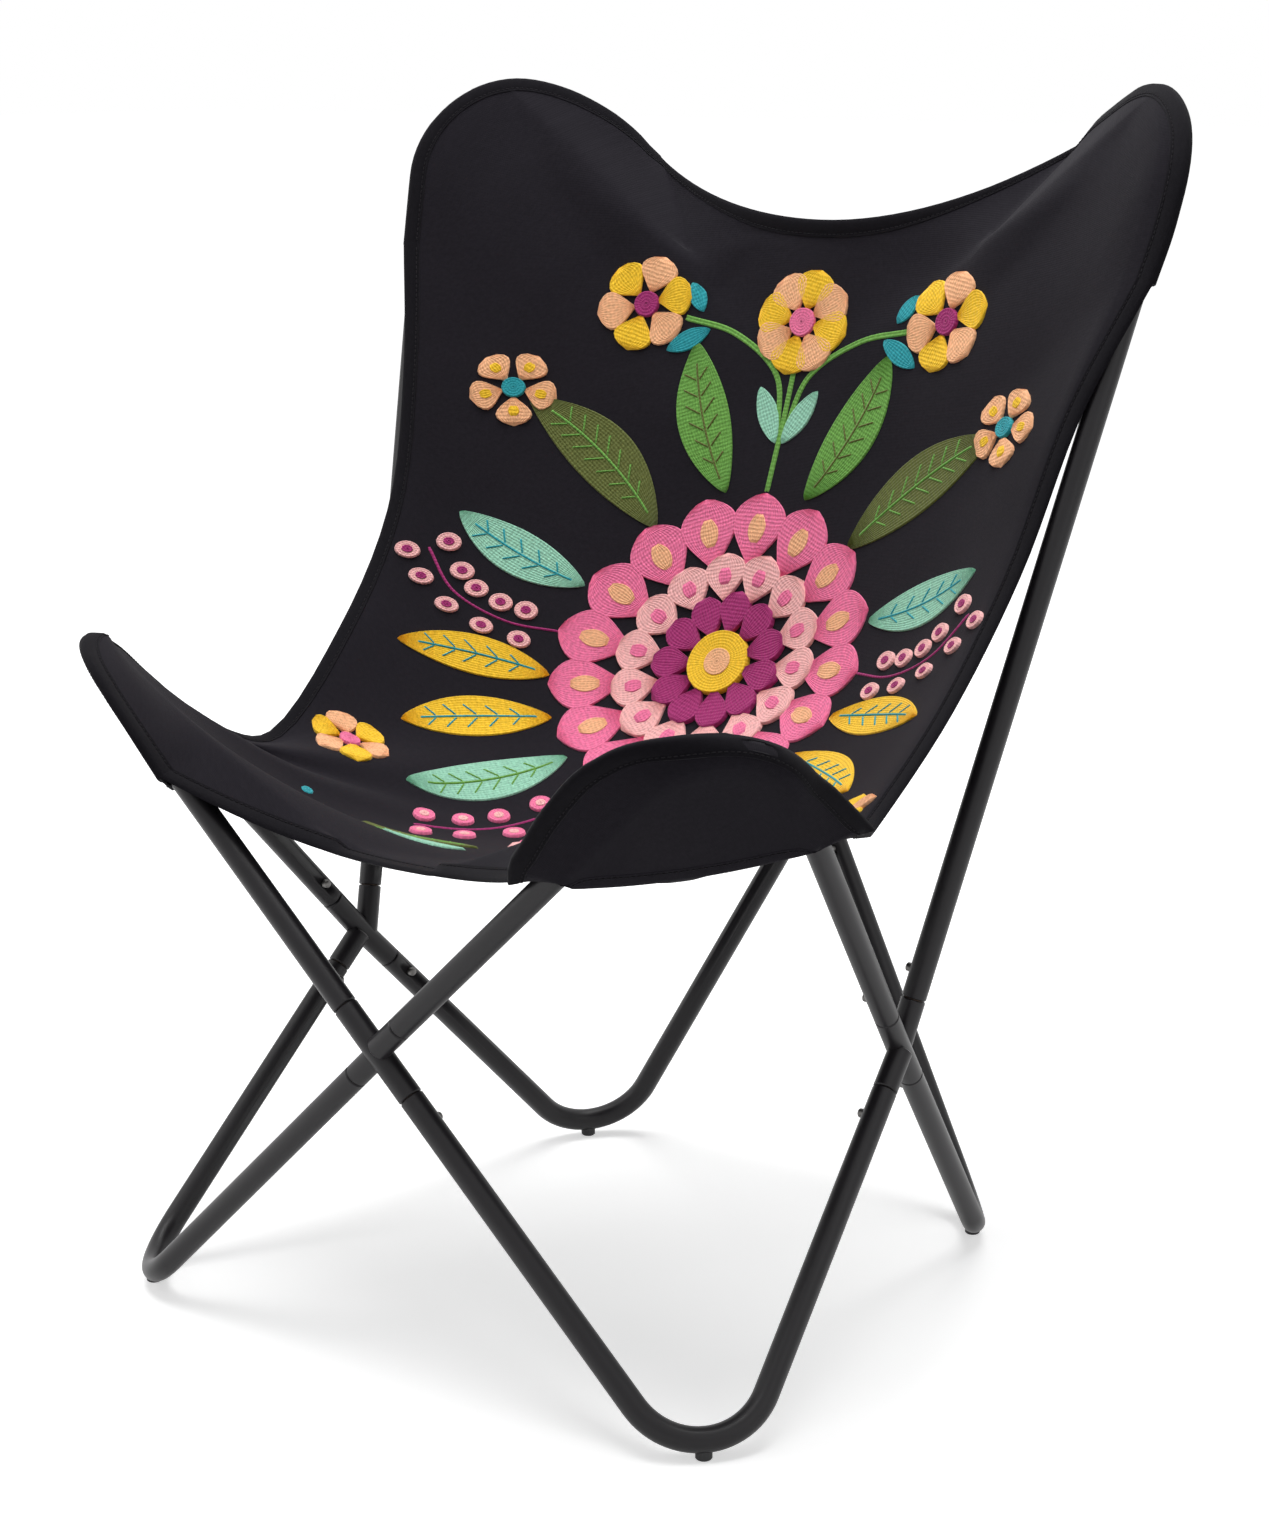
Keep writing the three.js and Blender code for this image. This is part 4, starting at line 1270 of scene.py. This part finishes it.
# The middle vein of a leaf with pairs of side veins
def veins(colour, base, angle, length, width, bow, pairs):
    def middle(a, b):
        t = VEIN_START + VEIN_REACH * a
        return turned(base, angle, length * t, arched(bow, t) + b * STITCH_ROW * VEIN_HALF)

    patch(colour, middle, 1, length * VEIN_REACH, layer=2)
    for k in range(pairs):
        t = SIDE_VEIN_START + SIDE_VEIN_SPAN * k / max(1, pairs - 1)
        root = turned(base, angle, length * t, arched(bow, t))
        reach = width * SIDE_VEIN_REACH * math.sin(math.pi * t) ** LEAF_ROUND + SIDE_VEIN_LEAST
        for side in (-1, 1):
            slant = angle + side * SIDE_VEIN_SLANT

            def side_vein(a, b, root=root, slant=slant, reach=reach):
                return turned(root, slant, reach * a, b * STITCH_ROW * SIDE_VEIN_HALF)

            patch(colour, side_vein, 1, reach, layer=2)


def veined_leaf(colour, line, base, angle, length, width, bow, pairs):
    leaf(colour, base, angle, length, width, bow, layer=1)
    veins(line, base, angle, length, width, bow, pairs)


def disc(colour, centre, radius, layer=0):
    def shape(a, b):
        return turned(centre, 2 * math.pi * a, radius * (b + 1) / 2, 0.0)

    patch(colour, shape, max(2, round(radius / STITCH_ROW)), 2 * math.pi * radius, layer, looped=True)


# The place at a share of a path, moved sideways
def beside(path, share, step, offset):
    here = catmull_rom(path, share)
    run = unit(catmull_rom(path, min(1.0, share + step)) - catmull_rom(path, max(0.0, share - step)))
    return here[0] + run[1] * offset, here[1] - run[0] * offset


def stem(colour, points, rows=2):
    path = np.array(points, float)
    length = run_lengths(path)[-1]

    def shape(a, b):
        return beside(path, a, PATH_STEP, b * rows * STITCH_ROW / 2)

    patch(colour, shape, rows, length)


# A ring of petals about a centre, each with a tongue in another colour where one is named
def petals(centre, count, colours, start, end, width, turn=0.0, layer=0, tongue=None):
    length = end - start
    for k in range(count):
        angle = turn + 2 * math.pi * k / count
        base = turned(centre, angle, start, 0.0)
        leaf(colours[k % len(colours)], base, angle, length, width, blunt=PETAL_BLUNT, layer=layer)
        if tongue:
            inner = turned(centre, angle, start + length * TONGUE_START, 0.0)
            leaf(tongue, inner, angle, length * TONGUE_LENGTH, width * TONGUE_WIDTH, layer=layer + 1)


def blossom(centre, count, colours, radius, button, turn=0.0, tongue=None):
    start = radius * BLOSSOM_HEART
    petals(centre, count, colours, start, radius, radius * BLOSSOM_PETAL, turn, layer=3, tongue=tongue)
    disc(button, centre, radius * BLOSSOM_BUTTON, layer=4)


# A sprig of round berries in pairs along a stem
def berries(line, colours, points, first, last, count, size):
    path = np.array(points, float)
    stem(line, points, rows=1)
    for k in range(count):
        t = first + (last - first) * k / (count - 1)
        for side in (-1, 1):
            place = beside(path, t, BERRY_STEP, side * size * BERRY_OUT)
            disc(colours[0], place, size, layer=3)
            disc(colours[1], place, size * BERRY_MIDDLE, layer=4)


# The design, the same on both sides of the middle: a rosette with leaves, blossoms and berry sprigs about it
ROSETTE = (0.0, 440.0)


def draw_side(side):
    veined_leaf("leaf", "olive", (side * 40, 586), side * 0.42, 138, 48, bow=side * 8, pairs=6)
    veined_leaf("olive", "leaf", (side * 96, 548), side * 0.96, 164, 52, bow=side * -10, pairs=7)
    veined_leaf("mint", "teal", (side * 142, 486), side * 1.22, 122, 42, bow=side * 6, pairs=5)
    sprig = [(side * 148, 438), (side * 192, 432), (side * 236, 446), (side * 268, 486)]
    berries("plum", ("blush", "plum"), sprig, 0.22, 1, 5, 9.5)
    veined_leaf("gold", "teal", (side * 140, 392), side * 1.86, 122, 46, bow=side * -8, pairs=5)
    veined_leaf("gold", "teal", (side * 120, 352), side * 2.2, 126, 44, bow=side * -6, pairs=5)
    veined_leaf("mint", "leaf", (side * 86, 318), side * 2.46, 142, 46, bow=side * 8, pairs=6)
    stem("leaf", [(side * 3, 640), (side * 16, 690), (side * 62, 722), (side * 112, 732)])
    blossom((side * 150, 740), 6, ["peach", "gold"], 43, "plum", turn=0.2)
    leaf("teal", (side * 96, 738), side * 0.6, 30, 15, layer=1)
    leaf("teal", (side * 86, 724), side * 2.1, 44, 18, layer=1)
    blossom((side * 244, 648), 5, ["peach"], 36, "teal", turn=0.4, tongue="gold")
    blossom((side * 238, 214), 6, ["gold", "peach"], 38, "pink", turn=0.3)
    sprig = [(side * 34, 288), (side * 62, 244), (side * 92, 196), (side * 132, 164)]
    berries("plum", ("pink", "blush"), sprig, 0.3, 0.95, 4, 9.5)
    veined_leaf("olive", "leaf", (side * 34, 128), side * 1.60, 118, 36, bow=side * 7, pairs=5)
    leaf("mint", (side * 26, 104), side * 2.2, 66, 24, layer=1)
    for k in range(4):
        disc("teal" if k % 2 else "gold", (side * (104 + 32 * k), 88 + 8 * k), 8 - k)


for side in (-1, 1):
    draw_side(side)
petals(ROSETTE, 16, ["pink"], 84, 150, 53, layer=2, tongue="peach")
petals(ROSETTE, 14, ["blush"], 54, 99, 40, turn=0.2, layer=4, tongue="pink")
petals(ROSETTE, 11, ["plum"], 23, 65, 30, layer=6)
disc("gold", ROSETTE, 29, layer=8)
disc("peach", ROSETTE, 13, layer=9)
stem("leaf", [(0, 590), (0, 650), (0, 700)])
blossom((0, 736), 8, ["gold", "peach"], 46, "pink", turn=0.2)
for side in (-1, 1):
    leaf("mint", (side * 3, 632), side * 0.5, 54, 20, layer=1)
stem("leaf", [(0, 288), (0, 262), (0, 236)])
blossom((0, 194), 8, ["pink", "blush"], 46, "gold", turn=0.2, tongue="plum")

for colour, patches in embroidery.items():
    verts, faces = join([item[:2] for item in patches])
    material = yarn(f"yarn_{colour}", COLOURS[colour])
    piece = make_object(f"embroidery_{colour}", verts, faces, material, angle=80.0)
    give_map(piece, np.array([uv for item in patches for uv in item[2]]))
    trims.append(piece)

for piece in (panel, *trims, *(item[0] for item in pocket_pieces.values())):
    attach(piece, "frame")
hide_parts("sling_panel")
for node, (piece, _) in pocket_pieces.items():
    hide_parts(node)

# The pockets' node names, split into their end and side
for node, (piece, area) in pocket_pieces.items():
    end, side = node.split("_")[1:]

# Camera, floor and light, in metres
CAMERA_PLACE = (1.46378, -1.91529, 0.97636)
CAMERA_RIGHT = (0.80189, 0.59747, -0.00193)
CAMERA_UP = (-0.13514, 0.18452, 0.97349)
CAMERA_FORWARD = (-0.58199, 0.78037, -0.22870)
CAMERA_LENS = 73.31
CAMERA_SHIFT = (-0.01304, 0.00228)
FLOOR_HALF = 30.0
FLOOR_GLOW = (0.55, 0.9)
GLOW_REACH = (0.7, 2.2)
WHITE = (1.0, 1.0, 1.0, 1.0)

camera_data = bpy.data.cameras.new("camera")
camera_data.sensor_fit = "VERTICAL"
camera_data.sensor_height = 36.0
camera_data.lens = CAMERA_LENS
camera_data.shift_x, camera_data.shift_y = CAMERA_SHIFT
camera_data.clip_end = 100.0
camera = add_object("camera", camera_data)
turn = Matrix((CAMERA_RIGHT, CAMERA_UP, [-c for c in CAMERA_FORWARD])).transposed()
camera.matrix_world = Matrix.Translation(CAMERA_PLACE) @ turn.to_4x4()
bpy.context.scene.camera = camera


# Shows one shader to the rays of the camera, of gloss and of glass, and a plain one to all others
def pick_shader(plain, shown, surface):
    tree = surface.id_data
    path = add_node(tree, "LightPath")
    rays = (path, "Is Camera Ray")
    for name in ("Is Glossy Ray", "Is Transmission Ray"):
        rays = (combine(tree, "MAXIMUM", rays, (path, name)), "Value")
    pick = add_node(tree, "MixShader")
    for k, source in enumerate((rays, plain, shown)):
        link(*source, pick, k)
    link(pick, "Shader", surface, "Surface")


finish = {"Roughness": 0.9, "Specular_IOR_Level": 0.0}
floor_material, floor_tree, floor_shader = new_material("pale_floor", (0.9, 0.9, 0.9), **finish)
floor_place = add_node(floor_tree, "TexCoord")
floor_grain = noise(floor_place, "Object", Scale=60.0, Detail=3.0)
tint(floor_shader, floor_grain, "Fac", (0.89, 0.89, 0.89), (0.92, 0.92, 0.92))
glow = add_node(floor_tree, "Emission")
away = add_node(floor_tree, "VectorMath", operation="LENGTH")
link(floor_place, "Object", away, 0)
spread(away, "Value", *FLOOR_GLOW, glow, "Strength", From_Min=GLOW_REACH[0], From_Max=GLOW_REACH[1])
lit_floor = add_node(floor_tree, "AddShader")
link(floor_shader, "BSDF", lit_floor, 0)
link(glow, "Emission", lit_floor, 1)
pick_shader((floor_shader, "BSDF"), (lit_floor, "Shader"), floor_tree.nodes["Material Output"])
floor_mesh = bpy.data.meshes.new("floor")
floor_corners = [(x * FLOOR_HALF, y * FLOOR_HALF, 0) for x, y in ((-1, -1), (1, -1), (1, 1), (-1, 1))]
floor_mesh.from_pydata(floor_corners, [], [(0, 1, 2, 3)])
floor_mesh.materials.append(floor_material)
floor = add_object("floor", floor_mesh)

world = bpy.data.worlds.new("studio")
world.use_nodes = True
bpy.context.scene.world = world
dim = set_up(world.node_tree.nodes["Background"], Color=WHITE, Strength=0.2)
white = add_node(world.node_tree, "Background", Color=WHITE, Strength=1.0)
pick_shader((dim, "Background"), (white, "Background"), world.node_tree.nodes["World Output"])


def soft_light(name, place, target, size, power):
    data = bpy.data.lights.new(name, "AREA")
    data.shape = "RECTANGLE"
    data.size, data.size_y = size
    data.energy = power
    lamp = add_object(name, data)
    lamp.location = place
    aim = Vector(target) - Vector(place)
    lamp.rotation_euler = aim.to_track_quat("-Z", "Y").to_euler()


soft_light("top_softbox", place=(-0.2, 0.1, 2.9), target=(0, 0, 0.3), size=(2.6, 2.2), power=88)
soft_light("left_softbox", place=(-2.3, -1.6, 1.7), target=(0, 0, 0.5), size=(1.4, 2.0), power=14)
soft_light("right_softbox", place=(2.6, -0.6, 1.6), target=(0, 0, 0.5), size=(1.2, 2.0), power=5)

scene = bpy.context.scene
scene.view_settings.view_transform = "Standard"
